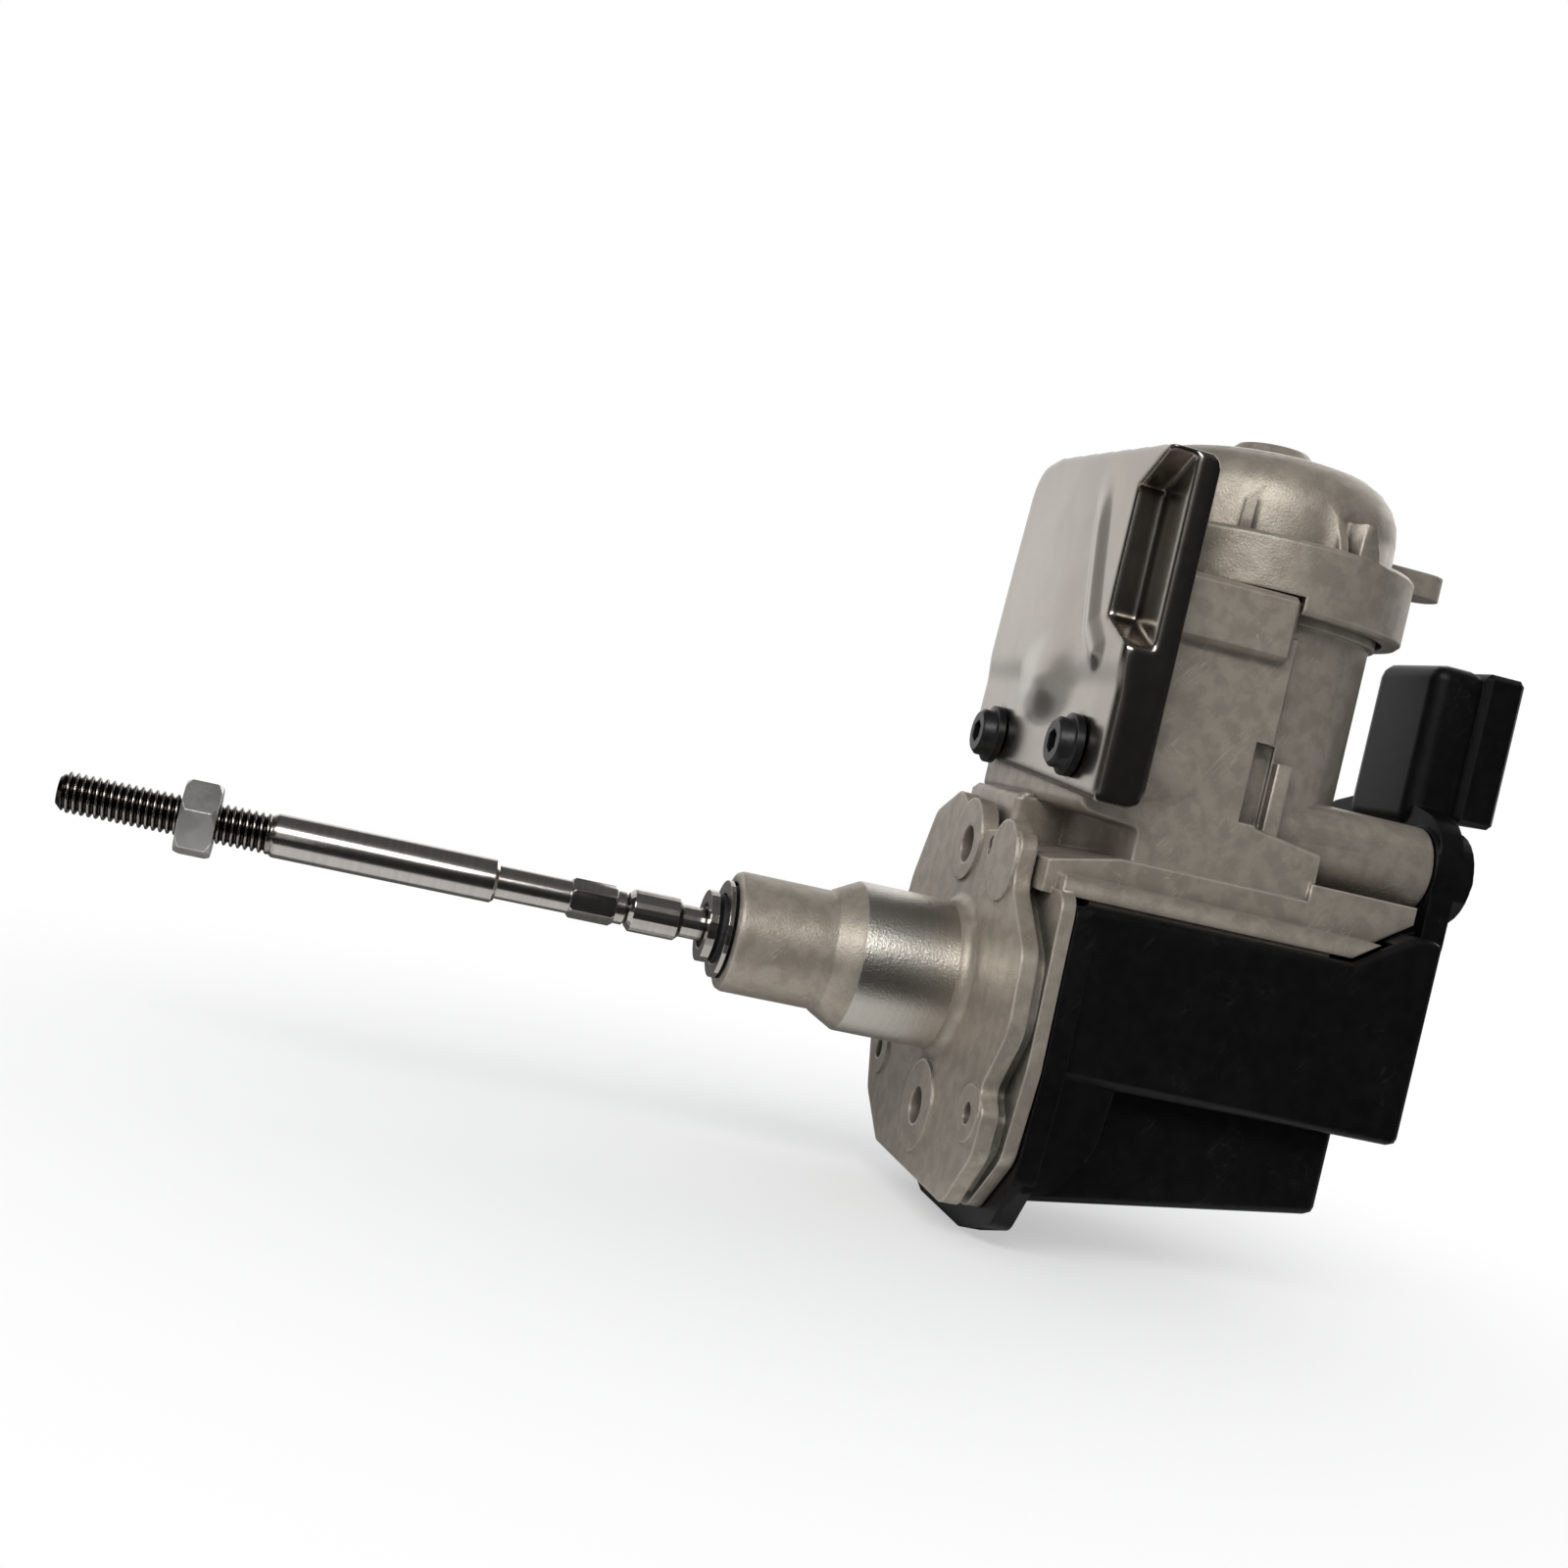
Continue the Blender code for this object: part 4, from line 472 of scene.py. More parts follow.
def turned_seat(mat):
    """Adds the lathe-turned band to the housing's material."""
    tree = mat.node_tree
    shader = tree.nodes["Principled BSDF"]
    x_place, radius = along_and_out(tree)
    along = band_mask(tree, x_place, SEAT_FRONT_X, SEAT_BACK_X, SEAT_SOFTNESS)
    near = contrast(tree, radius, SEAT_RADIUS + SEAT_SOFTNESS, SEAT_RADIUS)
    seat = product(tree, along, near)
    rings = place_group(tree, "drawn_grain", Stretch=SEAT_RINGS)
    bright = blend(tree, SEAT_TONE, SEAT_SHADE, rings.outputs["Tone"])
    colour = blend(tree, socket_into(mat, "Base Color"), bright, seat)
    smooth = mix_value(tree, socket_into(mat, "Roughness"), SEAT_ROUGHNESS, seat)
    metal = add(tree, "MapRange")
    metal.inputs["To Min"].default_value = CAST_METALLIC
    wire(tree, seat, metal.inputs["Value"])
    wire(tree, colour, shader.inputs["Base Color"])
    wire(tree, smooth, shader.inputs["Roughness"])
    wire(tree, metal.outputs["Result"], shader.inputs["Metallic"])
    return mat


housing_cast = turned_seat(cast_aluminium("housing_cast"))
cap_cast = cast_aluminium("cap_cast")
give_finish("gear_housing", housing_cast)
give_finish("motor_end_cap", cap_cast)
print("cast finishes:", housing_cast.name, cap_cast.name)

# %% [markdown]
# ## Pressed stainless sheet
# The heat shield is thin stainless steel. Its face is a soft satin with hardly any grain, so
# it mirrors the room in broad cloudy patches, and heat has left a faint straw tint. In its
# inner corners, most of all in the corner that is pressed back, a dark reflection and shade
# are painted into the colour, and there the sheet is duller.

# %% Finish: stainless sheet
SHEET_TONE = (0.41, 0.375, 0.330)
SHEET_SHADE = (0.36, 0.325, 0.285)
SHEET_WORN = (0.46, 0.42, 0.38)
SHEET_TINT = (0.42, 0.36, 0.29)
SHEET_LINES = (0.30, 0.265, 0.23)
RECESS_DARK_TONE = (0.018, 0.015, 0.013)
RECESS_DARK_REACH = 0.009
RECESS_DARK_AMOUNT = 1.7
RECESS_ROUGHNESS = 0.40


def stainless_sheet(name):
    mat = surface(name, SHEET_TONE, SHEET_SHADE, (0.18, 0.27), (420, 420, 300), 1.0,
                  worn=SHEET_WORN, edge_radius=0.0002, bump=0.000003, dirt_and_shade=0.35, wear=0.2)
    tree = mat.node_tree
    skin = place_group(tree, "cast_skin", Blotch=60.0, Pores=700.0)
    tint = contrast(tree, skin.outputs["Blotches"], 0.45, 0.75)
    colour = blend(tree, socket_into(mat, "Base Color"), SHEET_TINT, tint, 0.30)
    scratch = place_group(tree, "hair_lines", Scale=0.8)
    colour = blend(tree, colour, SHEET_LINES, scratch.outputs["Lines"], 0.35)
    # Painted dark reflection and shade in the inner corners, deepest in the pressed-back corner.
    recess_dark = place_group(tree, "corner_dirt_and_shade", Reach=RECESS_DARK_REACH).outputs["Dirt_and_shade"]
    colour = blend(tree, colour, RECESS_DARK_TONE, recess_dark, RECESS_DARK_AMOUNT)
    dull = mix_value(tree, socket_into(mat, "Roughness"), RECESS_ROUGHNESS, recess_dark)
    shader = tree.nodes["Principled BSDF"]
    wire(tree, dull, shader.inputs["Roughness"])
    wire(tree, colour, shader.inputs["Base Color"])
    return mat


shield_sheet = stainless_sheet("shield_stainless")
give_finish("heat_shield", shield_sheet)
print("sheet finish:", shield_sheet.name)

# %% [markdown]
# ## Turned steel, zinc and black screws
# The push rod is ground bright, its thread is rolled and darker, and the lock nut is zinc
# plated, which looks paler and more matt. The shield's two screws are blackened, and the
# others are zinc plated like the nut. Shade is painted dark between the thread's crests.

# %% Finish: turned and plated steels
THREAD_CREST = 0.00296
THREAD_DARK_LENGTH = 0.0300
THREAD_DARK_FADE = 0.0010
# Painted shade in the thread's roots: it starts this far below the crest and is full this far
# below it.
ROOT_SHADE_START = 0.00008
ROOT_SHADE_FULL = 0.00040
THREAD_DARK_TONE = (0.16, 0.14, 0.12)
ROOT_SHADE_TONE = (0.022, 0.018, 0.015)


def turned_steel(name):
    """For the rod, whose turning marks run round the X axis."""
    return surface(name, (0.60, 0.57, 0.53), (0.54, 0.51, 0.47), (0.14, 0.26), (9000, 160, 160),
                   1.0, worn=(0.80, 0.77, 0.72), edge_radius=0.00015, bump=0.000004, dirt_and_shade=0.6,
                   wear=0.4)


def shaft_steel(name):
    """For shafts that stand upright, whose turning marks run round the Z axis."""
    return surface(name, (0.56, 0.55, 0.53), (0.40, 0.39, 0.38), (0.18, 0.34),
                   (160, 160, 9000), 1.0, edge_radius=0.00012, bump=0.000004)


def zinc_plate(name):
    return surface(name, (0.80, 0.785, 0.75), (0.66, 0.645, 0.61), (0.34, 0.50),
                   (1800, 1800, 1800), 1.0, worn=(0.82, 0.81, 0.78), edge_radius=0.0003,
                   bump=0.00001, dirt_and_shade=0.5)


def black_screw(name):
    return surface(name, (0.020, 0.020, 0.021), (0.012, 0.012, 0.013), (0.28, 0.46),
                   (2200, 2200, 2200), 0.4, worn=(0.10, 0.095, 0.09), edge_radius=0.0002,
                   bump=0.00001, wear=0.35)


def thread_dark_and_root_shade(mat):
    """Darkens the rod's thread, and paints shade between its crests."""
    end_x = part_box("adjusting_rod")[0].x + THREAD_DARK_LENGTH
    tree = mat.node_tree
    x_place, radius = along_and_out(tree)
    on_thread = contrast(tree, x_place, end_x + THREAD_DARK_FADE, end_x)
    # The whole thread is made darker, and painted shade darkens its roots.
    root_shade = contrast(tree, radius, THREAD_CREST - ROOT_SHADE_START, THREAD_CREST - ROOT_SHADE_FULL)
    colour = blend(tree, socket_into(mat, "Base Color"), THREAD_DARK_TONE, on_thread, 0.6)
    colour = blend(tree, colour, ROOT_SHADE_TONE, product(tree, on_thread, root_shade), 0.95)
    wire(tree, colour, tree.nodes["Principled BSDF"].inputs["Base Color"])
    return mat


rod_steel = thread_dark_and_root_shade(turned_steel("rod_steel"))
for piece in ("rack_rod", "seal_retainer", "seal_washer"):
    give_finish(piece, turned_steel(piece + "_steel"))
for piece in ("motor_shaft", "motor_pinion", "output_shaft", "idler_pin", "idler_clip"):
    give_finish(piece, shaft_steel(piece + "_steel"))
give_finish("lock_nut", zinc_plate("nut_zinc"))
for piece in ("shield_screw_near", "shield_screw_far"):
    give_finish(piece, black_screw(piece + "_black"))
for piece in ("cover_screw_near", "cover_screw_far", "lug_screw_near", "lug_screw_far"):
    give_finish(piece, zinc_plate(piece + "_zinc"))
print("steel finishes:", len([m for m in bpy.data.materials if m.name.endswith("steel")]))

# %% [markdown]
# ## Moulded black plastic
# The gear cover and its connector are glass-filled nylon. It is nearly black, its skin has
# the fine texture of the mould, and handling leaves paler edges and faint dust.

# %% Finish: black plastic
PLASTIC_TONE = (0.0042, 0.0042, 0.0048)
PLASTIC_WORN = (0.016, 0.0155, 0.015)
PLASTIC_DUST = (0.010, 0.0095, 0.009)
PLASTIC_LINES = (0.022, 0.021, 0.020)
PLASTIC_SHINE = 0.18


def black_plastic(name, tone=PLASTIC_TONE, rough=(0.32, 0.50)):
    mat = surface(name, tone, tuple(v * 0.7 for v in tone), rough, (3800, 3800, 3800),
                  worn=PLASTIC_WORN, edge_radius=0.0005, bump=0.000012, dirt_and_shade=0.3, wear=0.5)
    tree = mat.node_tree
    skin = place_group(tree, "cast_skin", Blotch=90.0, Pores=1600.0)
    dust = contrast(tree, skin.outputs["Blotches"], 0.50, 0.80)
    colour = blend(tree, socket_into(mat, "Base Color"), PLASTIC_DUST, dust, 0.4)
    scratch = place_group(tree, "hair_lines", Scale=0.7)
    colour = blend(tree, colour, PLASTIC_LINES, scratch.outputs["Lines"], 0.5)
    shader = tree.nodes["Principled BSDF"]
    wire(tree, colour, shader.inputs["Base Color"])
    shader.inputs["Specular IOR Level"].default_value = PLASTIC_SHINE
    return mat


cover_plastic = black_plastic("cover_plastic")
give_finish("gear_cover", cover_plastic)
give_finish("magnet_holder", black_plastic("holder_plastic", rough=(0.40, 0.60)))
give_finish("hall_sensor", black_plastic("chip_epoxy", (0.02, 0.02, 0.022), (0.45, 0.6)))
give_finish("brush_card", black_plastic("card_plastic", (0.10, 0.05, 0.03), (0.5, 0.7)))
print("plastic finishes ready")

# %% [markdown]
# ## What is inside
# The gears, bearings, magnets and the small board can't be seen in the picture, but the
# model comes apart, so each of them has a finish of its own as well.

# %% Finish: inner pieces


def gear_polymer(name):
    return surface(name, (0.62, 0.57, 0.45), (0.52, 0.47, 0.36), (0.40, 0.55),
                   (900, 900, 900), worn=(0.72, 0.68, 0.58), edge_radius=0.0001, bump=0.00001)


def seal_rubber(name):
    return surface(name, (0.018, 0.018, 0.019), (0.010, 0.010, 0.011), (0.55, 0.75),
                   (1500, 1500, 1500), edge_radius=0.0002, bump=0.00002, dirt_and_shade=0.3)


def bronze(name):
    return surface(name, (0.58, 0.40, 0.22), (0.42, 0.28, 0.15), (0.28, 0.42),
                   (2500, 2500, 2500), 1.0, edge_radius=0.0001, bump=0.00001)


def copper(name):
    return surface(name, (0.72, 0.38, 0.25), (0.50, 0.25, 0.16), (0.22, 0.36),
                   (200, 200, 6000), 1.0, edge_radius=0.0001, bump=0.00001)


def sintered_magnet(name):
    return surface(name, (0.085, 0.085, 0.092), (0.055, 0.055, 0.060), (0.45, 0.62),
                   (2600, 2600, 2600), 0.3, worn=(0.2, 0.2, 0.2), edge_radius=0.0002, bump=0.00002)


def stamped_stack(name):
    """Iron sheets stacked along Z show as fine level lines."""
    return surface(name, (0.36, 0.35, 0.34), (0.20, 0.19, 0.19), (0.35, 0.50),
                   (120, 120, 5000), 1.0, edge_radius=0.0001, bump=0.00003)


def carbon(name):
    return surface(name, (0.045, 0.044, 0.044), (0.030, 0.030, 0.030), (0.55, 0.7),
                   (2600, 2600, 2600), 0.1, edge_radius=0.0002, bump=0.00001)


def board_resist(name):
    return surface(name, (0.020, 0.130, 0.055), (0.014, 0.100, 0.040), (0.28, 0.40),
                   (1200, 1200, 1200), worn=(0.20, 0.22, 0.12), edge_radius=0.0001, bump=0.000008)


def tinned_pin(name):
    return surface(name, (0.70, 0.66, 0.57), (0.55, 0.51, 0.43), (0.22, 0.36),
                   (4000, 300, 300), 1.0, edge_radius=0.0001, bump=0.000004)


INNER_FINISH = {
    gear_polymer: ("intermediate_gear", "output_wheel", "rack_guide"),
    seal_rubber: ("rod_seal", "cap_seal_ring"),
    bronze: ("front_guide_bush", "rear_guide_bush", "motor_bearing_top", "motor_bearing_bottom",
             "output_bearing_upper", "output_bearing_lower"),
    copper: ("commutator",),
    sintered_magnet: ("field_magnet_left", "field_magnet_right", "position_magnet"),
    stamped_stack: ("armature",),
    carbon: ("motor_brush_near", "motor_brush_far"),
    board_resist: ("sensor_board",),
    tinned_pin: tuple("terminal_pin_%d" % i for i in range(1, 6)),
    shaft_steel: ("motor_can",),
}
for finish, pieces in INNER_FINISH.items():
    for piece in pieces:
        give_finish(piece, finish(piece + "_finish"))
print("inner finishes:", sum(len(p) for p in INNER_FINISH.values()))

# %% [markdown]
# ## Helpers for new meshes
# A new mesh is tied to one body of the frame, so that it moves with it, and wears the
# finish it is given. The second helper joins rings of points into a closed bar.

# %% Helpers for meshes


def new_piece(name, bm, mat, body, smooth_angle):
    """Makes a mesh object that rides on a body of the frame."""
    bmesh.ops.recalc_face_normals(bm, faces=bm.faces)
    mesh = bpy.data.meshes.new(name)
    bm.to_mesh(mesh)
    bm.free()
    mesh.materials.append(mat)
    mesh.shade_smooth()
    mesh.set_sharp_from_angle(angle=radians(smooth_angle))
    piece = bpy.data.objects.new(name, mesh)
    bpy.context.scene.collection.objects.link(piece)
    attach(piece, body)
    return piece


def skin_rings(bm, rings):
    """Joins rings of points, each with the same count, into a closed bar."""
    rows = [[bm.verts.new(point) for point in ring] for ring in rings]
    for lower, upper in zip(rows, rows[1:]):
        for i in range(len(lower)):
            j = (i + 1) % len(lower)
            bm.faces.new((lower[i], lower[j], upper[j], upper[i]))
    bm.faces.new(rows[0])
    bm.faces.new(rows[-1])


print("mesh helpers ready")

# %% [markdown]
# ## Round surfaces without facets
# The solids are made of flat triangles, so a barrel shows its facets. The castings, the
# cover, the nut and the screws are copied, their doubled corners and level triangles are
# joined, and their shallow edges are shaded smooth. Weighted normals let large flat faces
# stay flat. The copy then takes the solid's place.

# %% Smooth copies
SMOOTH_ANGLE = 32
JOIN_DISTANCE = 0.000002
LEVEL_ANGLE = 0.6
SMOOTH_PIECES = {
    "cast_aluminium": ("gear_housing", "motor_end_cap"),
    "black_plastic": ("gear_cover",),
    "zinc_nut": ("lock_nut", "cover_screw_near", "cover_screw_far", "lug_screw_near",
                 "lug_screw_far"),
    "black_screw": ("shield_screw_near", "shield_screw_far"),
}
BODIES = frame["record"]["behaviour"]["bodies"]
BODY_OF = {node: body for body, nodes in BODIES.items() for node in nodes}


def joined_copy(node_name):
    """A copy of a solid's mesh in world places, with its doubled corners joined."""
    node = NODES[node_name]
    bm = bmesh.new()
    bm.from_mesh(node.data)
    bm.transform(node.matrix_world)
    bmesh.ops.remove_doubles(bm, verts=bm.verts, dist=JOIN_DISTANCE)
    bmesh.ops.dissolve_limit(bm, angle_limit=radians(LEVEL_ANGLE), verts=bm.verts,
                             edges=bm.edges)
    return bm


def dress(node_name, bm, angle=SMOOTH_ANGLE):
    """Makes a mesh that takes the place of one solid and wears its finish."""
    mat = NODES[node_name].material_slots[0].material
    piece = new_piece("dressed_" + node_name, bm, mat, BODY_OF[node_name], angle)
    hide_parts(node_name)
    return piece


def keep_flats_flat(piece):
    """Gives large faces the say over the normals at their corners."""
    weigh = piece.modifiers.new("weighted", "WEIGHTED_NORMAL")
    weigh.keep_sharp = True


for slot_name, pieces in SMOOTH_PIECES.items():
    for node_name in pieces:
        keep_flats_flat(dress(node_name, joined_copy(node_name)))
print("smooth copies:", sum(len(p) for p in SMOOTH_PIECES.values()))

# %% [markdown]
# ## The folded heat shield
# A pressed sheet has soft bends everywhere. Here the solid sheet is rebuilt from small
# cubes, which rounds its folds, and its face is then pressed by formulas: a slight crown, an
# upper panel that stands proud of the strip with the screws, a round lobe between the
# screws, and a raised line that runs down beside the stepped-back corner.

# %% Heat shield
SHEET_CELL = 0.00033
SHEET_SMOOTH_ANGLE = 60
RELAX_SHARE = 0.5
RELAX_ROUNDS = 20
FRONT_BAND = 0.0016
BEAD_LINE = ((-0.0070, 0.0822), (-0.0087, 0.0771), (-0.0155, 0.0569), (-0.0199, 0.0531))
BEAD_HEIGHT = 0.0007
BEAD_WIDTH = 0.0034
BEAD_TOP_Z = 0.0820
BEAD_FADE = 0.0110
PANEL_HEIGHT = 0.0005
PANEL_FOOT_Z = 0.0500
PANEL_BLEND = 0.0060
LOBE_PLACE = (-0.0008, 0.0488)
LOBE_REACH = (0.0145, 0.0082)
LOBE_HEIGHT = 0.0014
CROWN_PLACE = (0.0040, 0.0620)
CROWN_REACH = (0.0340, 0.0300)
CROWN_HEIGHT = 0.0006


def distance_to_line(y, z, points):
    """How far a point of the front lies from a line through several points."""
    best = 1.0
    for (y0, z0), (y1, z1) in zip(points, points[1:]):
        run = (y1 - y0) ** 2 + (z1 - z0) ** 2
        t = min(1.0, max(0.0, ((y - y0) * (y1 - y0) + (z - z0) * (z1 - z0)) / run))
        best = min(best, hypot(y - y0 - t * (y1 - y0), z - z0 - t * (z1 - z0)))
    return best


def ease(value):
    """Rises softly from 0 to 1."""
    value = min(1.0, max(0.0, value))
    return value * value * (3 - 2 * value)


def mound(y, z, place, reach):
    """An oval swelling of the face: 1 at its middle, 0 at its rim."""
    return ease(1 - hypot((y - place[0]) / reach[0], (z - place[1]) / reach[1]))


def pressed_height(y, z):
    """How far the face stands proud: crown, panel, round lobe and raised line."""
    line = ease(1 - distance_to_line(y, z, BEAD_LINE) / BEAD_WIDTH)
    line *= ease((BEAD_TOP_Z - z) / BEAD_FADE)
    lobe = mound(y, z, LOBE_PLACE, LOBE_REACH)
    panel = ease((z - PANEL_FOOT_Z) / PANEL_BLEND + 0.5)
    crown = mound(y, z, CROWN_PLACE, CROWN_REACH)
    return BEAD_HEIGHT * line + LOBE_HEIGHT * lobe + PANEL_HEIGHT * panel + CROWN_HEIGHT * crown


def rebuilt_sheet():
    """The sheet rebuilt from small cubes and smoothed, as a mesh with no modifiers left."""
    source = bpy.data.meshes.new("sheet_source")
    bm = joined_copy("heat_shield")
    bm.to_mesh(source)
    bm.free()
    holder = bpy.data.objects.new("sheet_source", source)
    bpy.context.scene.collection.objects.link(holder)
    cubes = holder.modifiers.new("cubes", "REMESH")
    cubes.mode = "VOXEL"
    cubes.voxel_size = SHEET_CELL
    relax = holder.modifiers.new("relax", "SMOOTH")
    relax.factor = RELAX_SHARE
    relax.iterations = RELAX_ROUNDS
    result = bmesh.new()
    result.from_object(holder, bpy.context.evaluated_depsgraph_get())
    bpy.data.objects.remove(holder)
    return result


bm = rebuilt_sheet()
shield_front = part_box("heat_shield")[0].x
for vert in bm.verts:
    x, y, z = vert.co
    if x < shield_front + FRONT_BAND:
        vert.co.x = x - pressed_height(y, z)
dressed_shield = dress("heat_shield", bm, SHEET_SMOOTH_ANGLE)
print("dressed shield:", len(dressed_shield.data.polygons), "faces")

# %% [markdown]
# ## The adjusting rod with its rolled thread
# The solid rod has a plain bar where the thread is, because a screw thread is too fine for
# it. Here the rod is made again with a real helix. A thread is a height that repeats once
# a pitch along the bar and slides by one pitch for each turn, so one formula gives the
# radius at every angle and every place. After the thread come the shank, the neck with the
# spanner's hexagon round it, and a short plain end.

# %% Adjusting rod
THREAD_PITCH = 0.0010
THREAD_LENGTH = 0.0302
THREAD_ROOT = 0.00240
ROOT_HALF = 0.10
FLANK_SHARE = 0.28
TIP_CHAMFER = 0.0011
TIP_SLOPE = 0.9
RUNOUT_LENGTH = 0.0012
RINGS_PER_PITCH = 12
ROD_SIDES = 64
THREAD_END_R = 0.00302
SHANK_R = 0.00325
SHANK_CHAMFER = 0.0004
SHANK_BEVEL = 0.0005
SHOULDER_R = 0.00285
NECK_R = 0.00252
REAR_R = 0.00250
REAR_END_R = 0.0021
REAR_CHAMFER = 0.0004
NECK_LENGTH = 0.0111
HEX_LENGTH = 0.0069
HEX_FLATS = 0.0053
HEX_CHAMFER = 0.0004
HEX_END_RISE = 0.00005
HEX_POINTS = 72
REAR_LENGTH = 0.0018
ROD_SMOOTH_ANGLE = 30
rod_low, rod_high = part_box("adjusting_rod")
ROD_TIP_X = rod_low.x
ROD_REAR_X = rod_high.x


def thread_radius(x, angle):
    """Crest, flank and root of the thread, fading out at both of its ends."""
    turn = ((x - ROD_TIP_X) / THREAD_PITCH - angle / (2 * pi)) % 1.0
    crest = min(1.0, max(0.0, (abs(turn - 0.5) - ROOT_HALF) / FLANK_SHARE))
    depth = (THREAD_CREST - THREAD_ROOT) * (1 - crest)
    start = THREAD_CREST - max(0.0, TIP_CHAMFER - (x - ROD_TIP_X)) * TIP_SLOPE
    runout = min(1.0, max(0.0, (ROD_TIP_X + THREAD_LENGTH - x) / RUNOUT_LENGTH))
    return min(start, THREAD_CREST - depth * runout)


def rod_rings():
    """Rings of points from the tip to the rear end, one list for each place along X."""
    angles = [2 * pi * i / ROD_SIDES for i in range(ROD_SIDES)]
    rings = []
    steps = int(THREAD_LENGTH / THREAD_PITCH * RINGS_PER_PITCH)
    for i in range(steps + 1):
        x = ROD_TIP_X + THREAD_LENGTH * i / steps
        rings.append([(x, thread_radius(x, a) * cos(a), thread_radius(x, a) * sin(a))
                      for a in angles])
    thread_end = ROD_TIP_X + THREAD_LENGTH
    shank_end = ROD_REAR_X - REAR_LENGTH - HEX_LENGTH - NECK_LENGTH
    for x, r in ((thread_end, THREAD_END_R), (thread_end + SHANK_CHAMFER, SHANK_R),
                 (shank_end - SHANK_BEVEL, SHANK_R), (shank_end, SHOULDER_R),
                 (shank_end, NECK_R), (ROD_REAR_X - REAR_CHAMFER, REAR_R),
                 (ROD_REAR_X, REAR_END_R)):
        rings.append([(x, r * cos(a), r * sin(a)) for a in angles])
    return rings


def hexagon(bm):
    """The spanner's collar, whose corners are turned down at both ends."""
    rear = ROD_REAR_X - REAR_LENGTH
    front = rear - HEX_LENGTH
    end_r = HEX_FLATS / 2 + HEX_END_RISE
    rings = []
    for x, r_most in ((front, end_r), (front + HEX_CHAMFER, HEX_FLATS),
                      (rear - HEX_CHAMFER, HEX_FLATS), (rear, end_r)):
        ring = []
        for i in range(HEX_POINTS):
            a = 2 * pi * i / HEX_POINTS
            r = HEX_FLATS / 2 / cos((a + pi / 6) % (pi / 3) - pi / 6)
            ring.append((x, min(r, r_most) * cos(a), min(r, r_most) * sin(a)))
        rings.append(ring)
    skin_rings(bm, rings)


bm = bmesh.new()
skin_rings(bm, rod_rings())
hexagon(bm)
threaded_rod = new_piece("threaded_rod", bm, rod_steel, "push_rod", ROD_SMOOTH_ANGLE)
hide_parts("adjusting_rod")
print("threaded_rod:", len(threaded_rod.data.polygons), "faces")

# %% [markdown]
# ## Floor, cards and light
# A pale floor runs out to white, so the part seems to stand on paper. Metal only looks
# like metal when it has something to mirror. Dark cards behind the lens, at both sides and
# above, and dark cloths on the table give the black that the shield's edge shows. The pale
# gap between the cloths and the long narrow lamp draw the streaks along the rod. Cards and
# cloths are seen by reflections only.

# %% Stage
FLOOR_GAP = 0.0002
CLOTH_LIFT = 0.001
AIM_Z = 0.03
FLOOR_Z = cad_box[0][2] - FLOOR_GAP
CLOTH_Z = FLOOR_Z + CLOTH_LIFT
MIDDLE = Vector(((cad_box[0][0] + cad_box[1][0]) / 2, 0.0, AIM_Z))
PAPER_SIZE = 8.0
PAPER_TONE = 0.88
WHITE_START = 0.02
WHITE_END = 0.19
WHITE_LEAST = 0.45
ROOM_TONE = (0.95, 0.97, 1.0)
ROOM_STRENGTH = 0.48
LAMPS = (
    ("key_lamp", (-0.50, -0.85, 0.65), 9.0, 1.1, 0.30),
    ("back_lamp", (0.65, 0.75, 0.70), 3.0, 0.9, 0.9),
)
CARD_TONES = {"card_black": 0.02, "card_shade": 0.12, "card_grey": 0.45, "card_dark_grey": 0.10}
CARDS = (
    ("wall_card", 2.4, (0.25, -1.40, 0.4), (90, 0, 10), "card_black"),
    ("table_card", 1.5, (0.10, -0.79, CLOTH_Z), (0, 0, 0), "card_black"),
    ("under_card", 0.9, (0.10, 0.46, CLOTH_Z), (0, 0, 0), "card_shade"),
    ("side_card", 2.3, (-1.10, -0.55, 0.4), (0, 90, 0), "card_black"),
    ("grey_card", 0.9, (-1.02, 0.98, 0.4), (0, 90, -14), "card_grey"),
    ("right_card", 1.9, (1.35, -0.45, 0.4), (0, 90, 0), "card_black"),
    ("top_card", 2.8, (0.10, 0.15, 1.25), (0, 0, 0), "card_dark_grey"),
)


def stage_plane(name, size, place, turn, mat):
    """A square sheet of the studio, turned by angles in degrees."""
    bm = bmesh.new()
    bmesh.ops.create_grid(bm, x_segments=1, y_segments=1, size=size / 2)
    mesh = bpy.data.meshes.new(name)
    bm.to_mesh(mesh)
    bm.free()
    mesh.materials.append(mat)
    thing = bpy.data.objects.new(name, mesh)
    thing.location = place
    thing.rotation_euler = [radians(angle) for angle in turn]
    bpy.context.scene.collection.objects.link(thing)


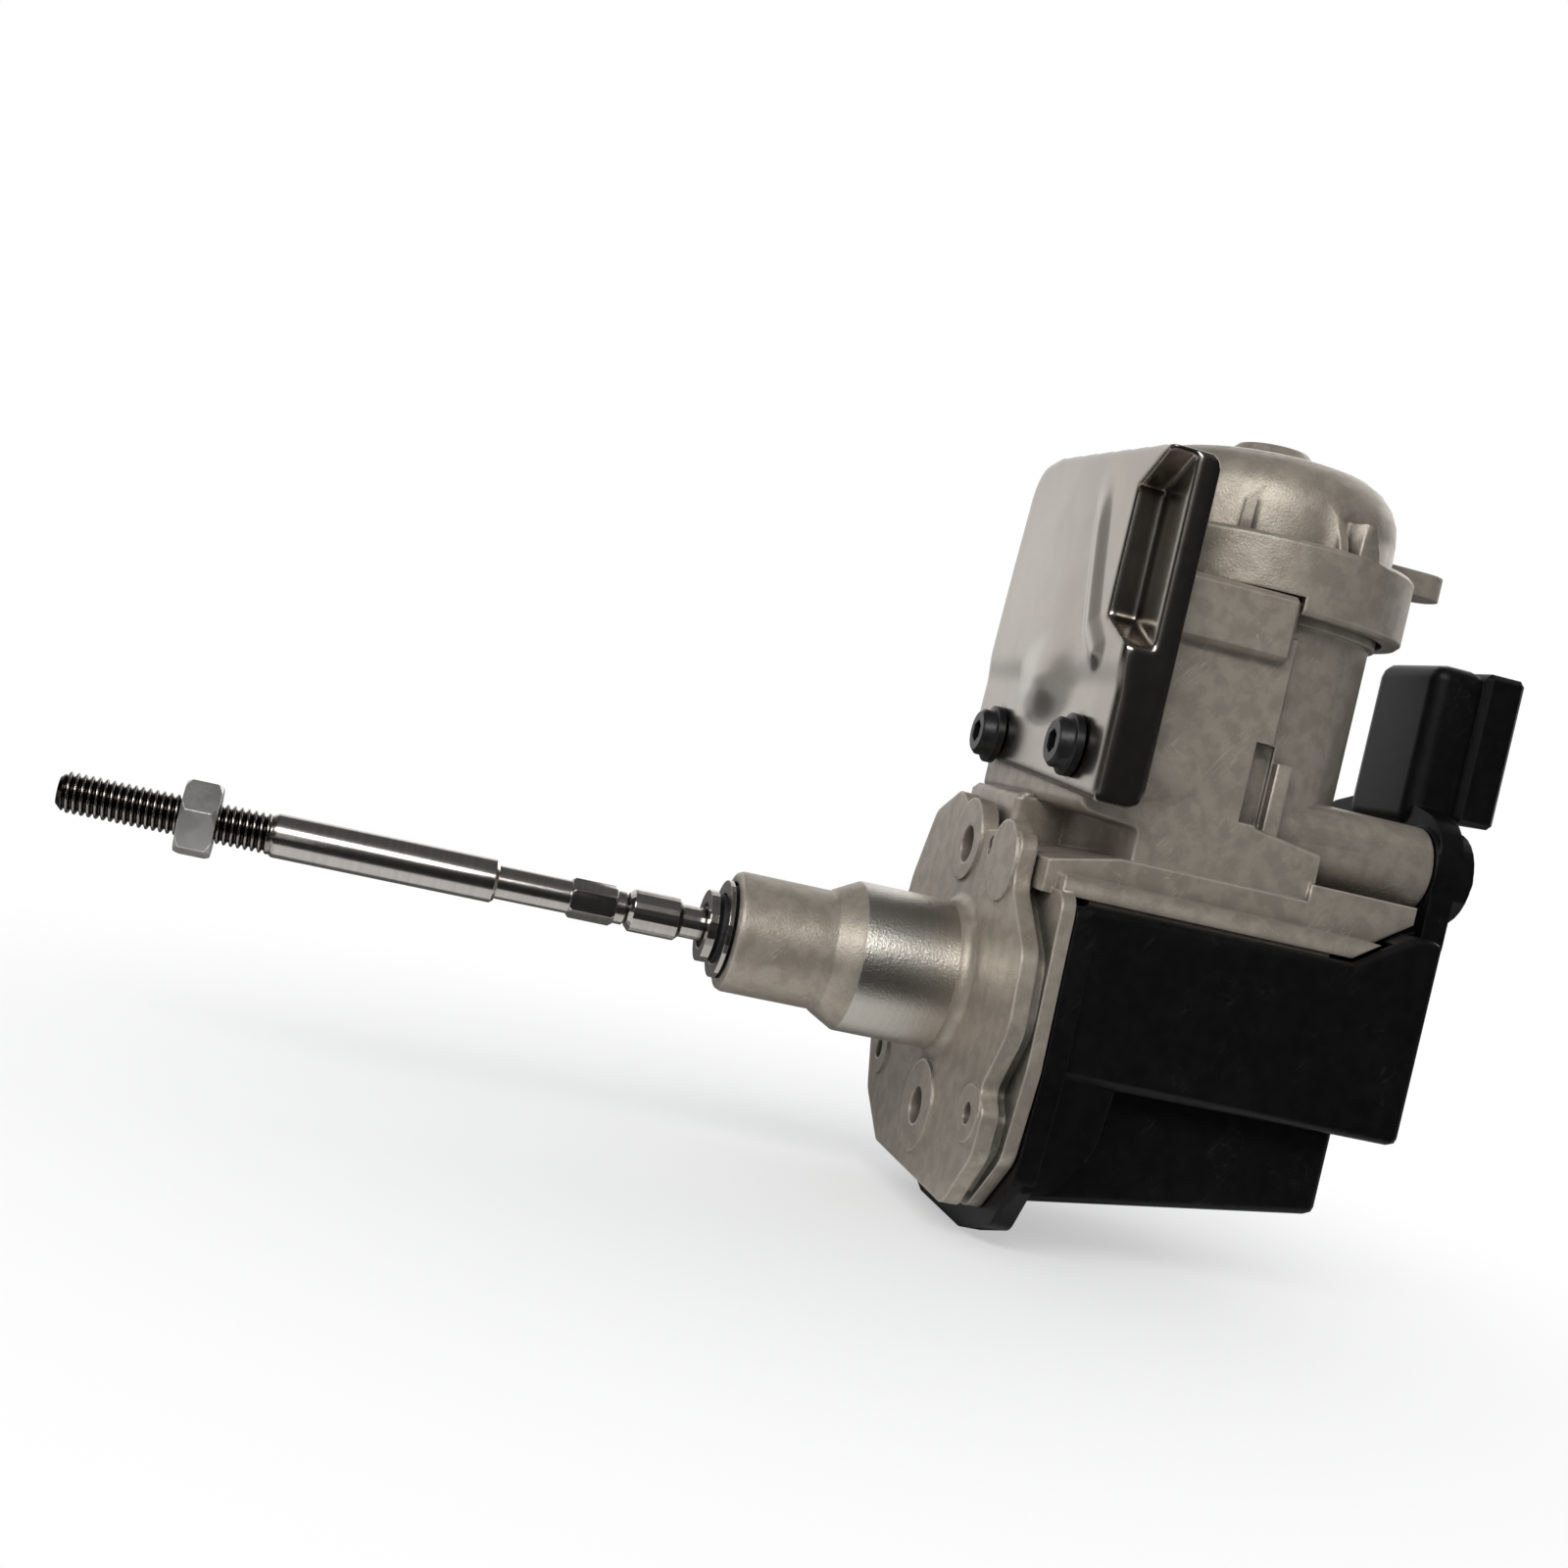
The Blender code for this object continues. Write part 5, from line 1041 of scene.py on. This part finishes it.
def paper(name):
    """Pale paper whose far part is seen as plain white, so that no horizon shows."""
    mat = bpy.data.materials.new(name)
    mat.use_nodes = True
    tree = mat.node_tree
    shader = tree.nodes["Principled BSDF"]
    shader.inputs["Base Color"].default_value = (PAPER_TONE, PAPER_TONE, PAPER_TONE, 1.0)
    shader.inputs["Roughness"].default_value = 0.9
    shader.inputs["Specular IOR Level"].default_value = 0.1
    place = add(tree, "TexCoord")
    reach = add(tree, "VectorMath", {"operation": "LENGTH"})
    far = add(tree, "MapRange", {"interpolation_type": "SMOOTHSTEP"})
    far.inputs["From Min"].default_value = WHITE_START
    far.inputs["From Max"].default_value = WHITE_END
    far.inputs["To Min"].default_value = WHITE_LEAST
    path = add(tree, "LightPath")
    white = add(tree, "Emission", Color=(1, 1, 1, 1), Strength=1.0)
    mix = add(tree, "MixShader")
    wire(tree, place.outputs["Object"], reach.inputs[0])
    wire(tree, reach.outputs["Value"], far.inputs["Value"])
    seen = product(tree, far.outputs["Result"], path.outputs["Is Camera Ray"])
    wire(tree, seen, mix.inputs["Fac"])
    wire(tree, shader.outputs["BSDF"], mix.inputs[1])
    wire(tree, white.outputs["Emission"], mix.inputs[2])
    wire(tree, mix.outputs["Shader"], tree.nodes["Material Output"].inputs["Surface"])
    return mat


def reflection_card(name, brightness):
    """Seen by mirrors only: every other ray passes straight through."""
    mat = bpy.data.materials.new(name)
    mat.use_nodes = True
    tree = mat.node_tree
    path = add(tree, "LightPath")
    card = add(tree, "Emission", Color=(brightness, brightness, brightness, 1.0), Strength=1.0)
    clear = add(tree, "BsdfTransparent")
    mix = add(tree, "MixShader")
    wire(tree, path.outputs["Is Glossy Ray"], mix.inputs["Fac"])
    wire(tree, clear.outputs["BSDF"], mix.inputs[1])
    wire(tree, card.outputs["Emission"], mix.inputs[2])
    wire(tree, mix.outputs["Shader"], tree.nodes["Material Output"].inputs["Surface"])
    return mat


def room_light():
    """Even light for matt surfaces, and white wherever the camera or a mirror looks."""
    world = bpy.data.worlds.new("studio")
    world.use_nodes = True
    tree = world.node_tree
    soft = tree.nodes["Background"]
    soft.inputs["Color"].default_value = (*ROOM_TONE, 1.0)
    soft.inputs["Strength"].default_value = ROOM_STRENGTH
    white = add(tree, "Background", Color=(1, 1, 1, 1), Strength=1.0)
    path = add(tree, "LightPath")
    first = add(tree, "Math", {"operation": "MAXIMUM"})
    both = add(tree, "Math", {"operation": "MAXIMUM"})
    mix = add(tree, "MixShader")
    wire(tree, path.outputs["Is Camera Ray"], first.inputs[0])
    wire(tree, path.outputs["Is Glossy Ray"], first.inputs[1])
    wire(tree, first.outputs[0], both.inputs[0])
    wire(tree, path.outputs["Is Transmission Ray"], both.inputs[1])
    wire(tree, both.outputs[0], mix.inputs["Fac"])
    wire(tree, soft.outputs["Background"], mix.inputs[1])
    wire(tree, white.outputs["Background"], mix.inputs[2])
    wire(tree, mix.outputs["Shader"], tree.nodes["World Output"].inputs["Surface"])
    bpy.context.scene.world = world


def soft_lamp(name, place, watts, width, height):
    """An area lamp that faces the middle of the part."""
    data = bpy.data.lights.new(name, "AREA")
    data.energy = watts
    data.shape = "RECTANGLE"
    data.size = width
    data.size_y = height
    lamp = bpy.data.objects.new(name, data)
    lamp.location = place
    lamp.rotation_euler = (MIDDLE - Vector(place)).to_track_quat("-Z", "Y").to_euler()
    bpy.context.scene.collection.objects.link(lamp)


stage_plane("paper_floor", PAPER_SIZE, (MIDDLE.x, 0, FLOOR_Z), (0, 0, 0), paper("paper"))
card_mats = {name: reflection_card(name, tone) for name, tone in CARD_TONES.items()}
for name, size, place, turn, tone in CARDS:
    stage_plane(name, size, place, turn, card_mats[tone])
room_light()
for name, place, watts, width, height in LAMPS:
    soft_lamp(name, place, watts, width, height)
bpy.context.scene.view_settings.view_transform = "Standard"
print("stage: floor at %.1f mm, %d lamps, %d cards" % (FLOOR_Z * 1000, len(LAMPS), len(CARDS)))
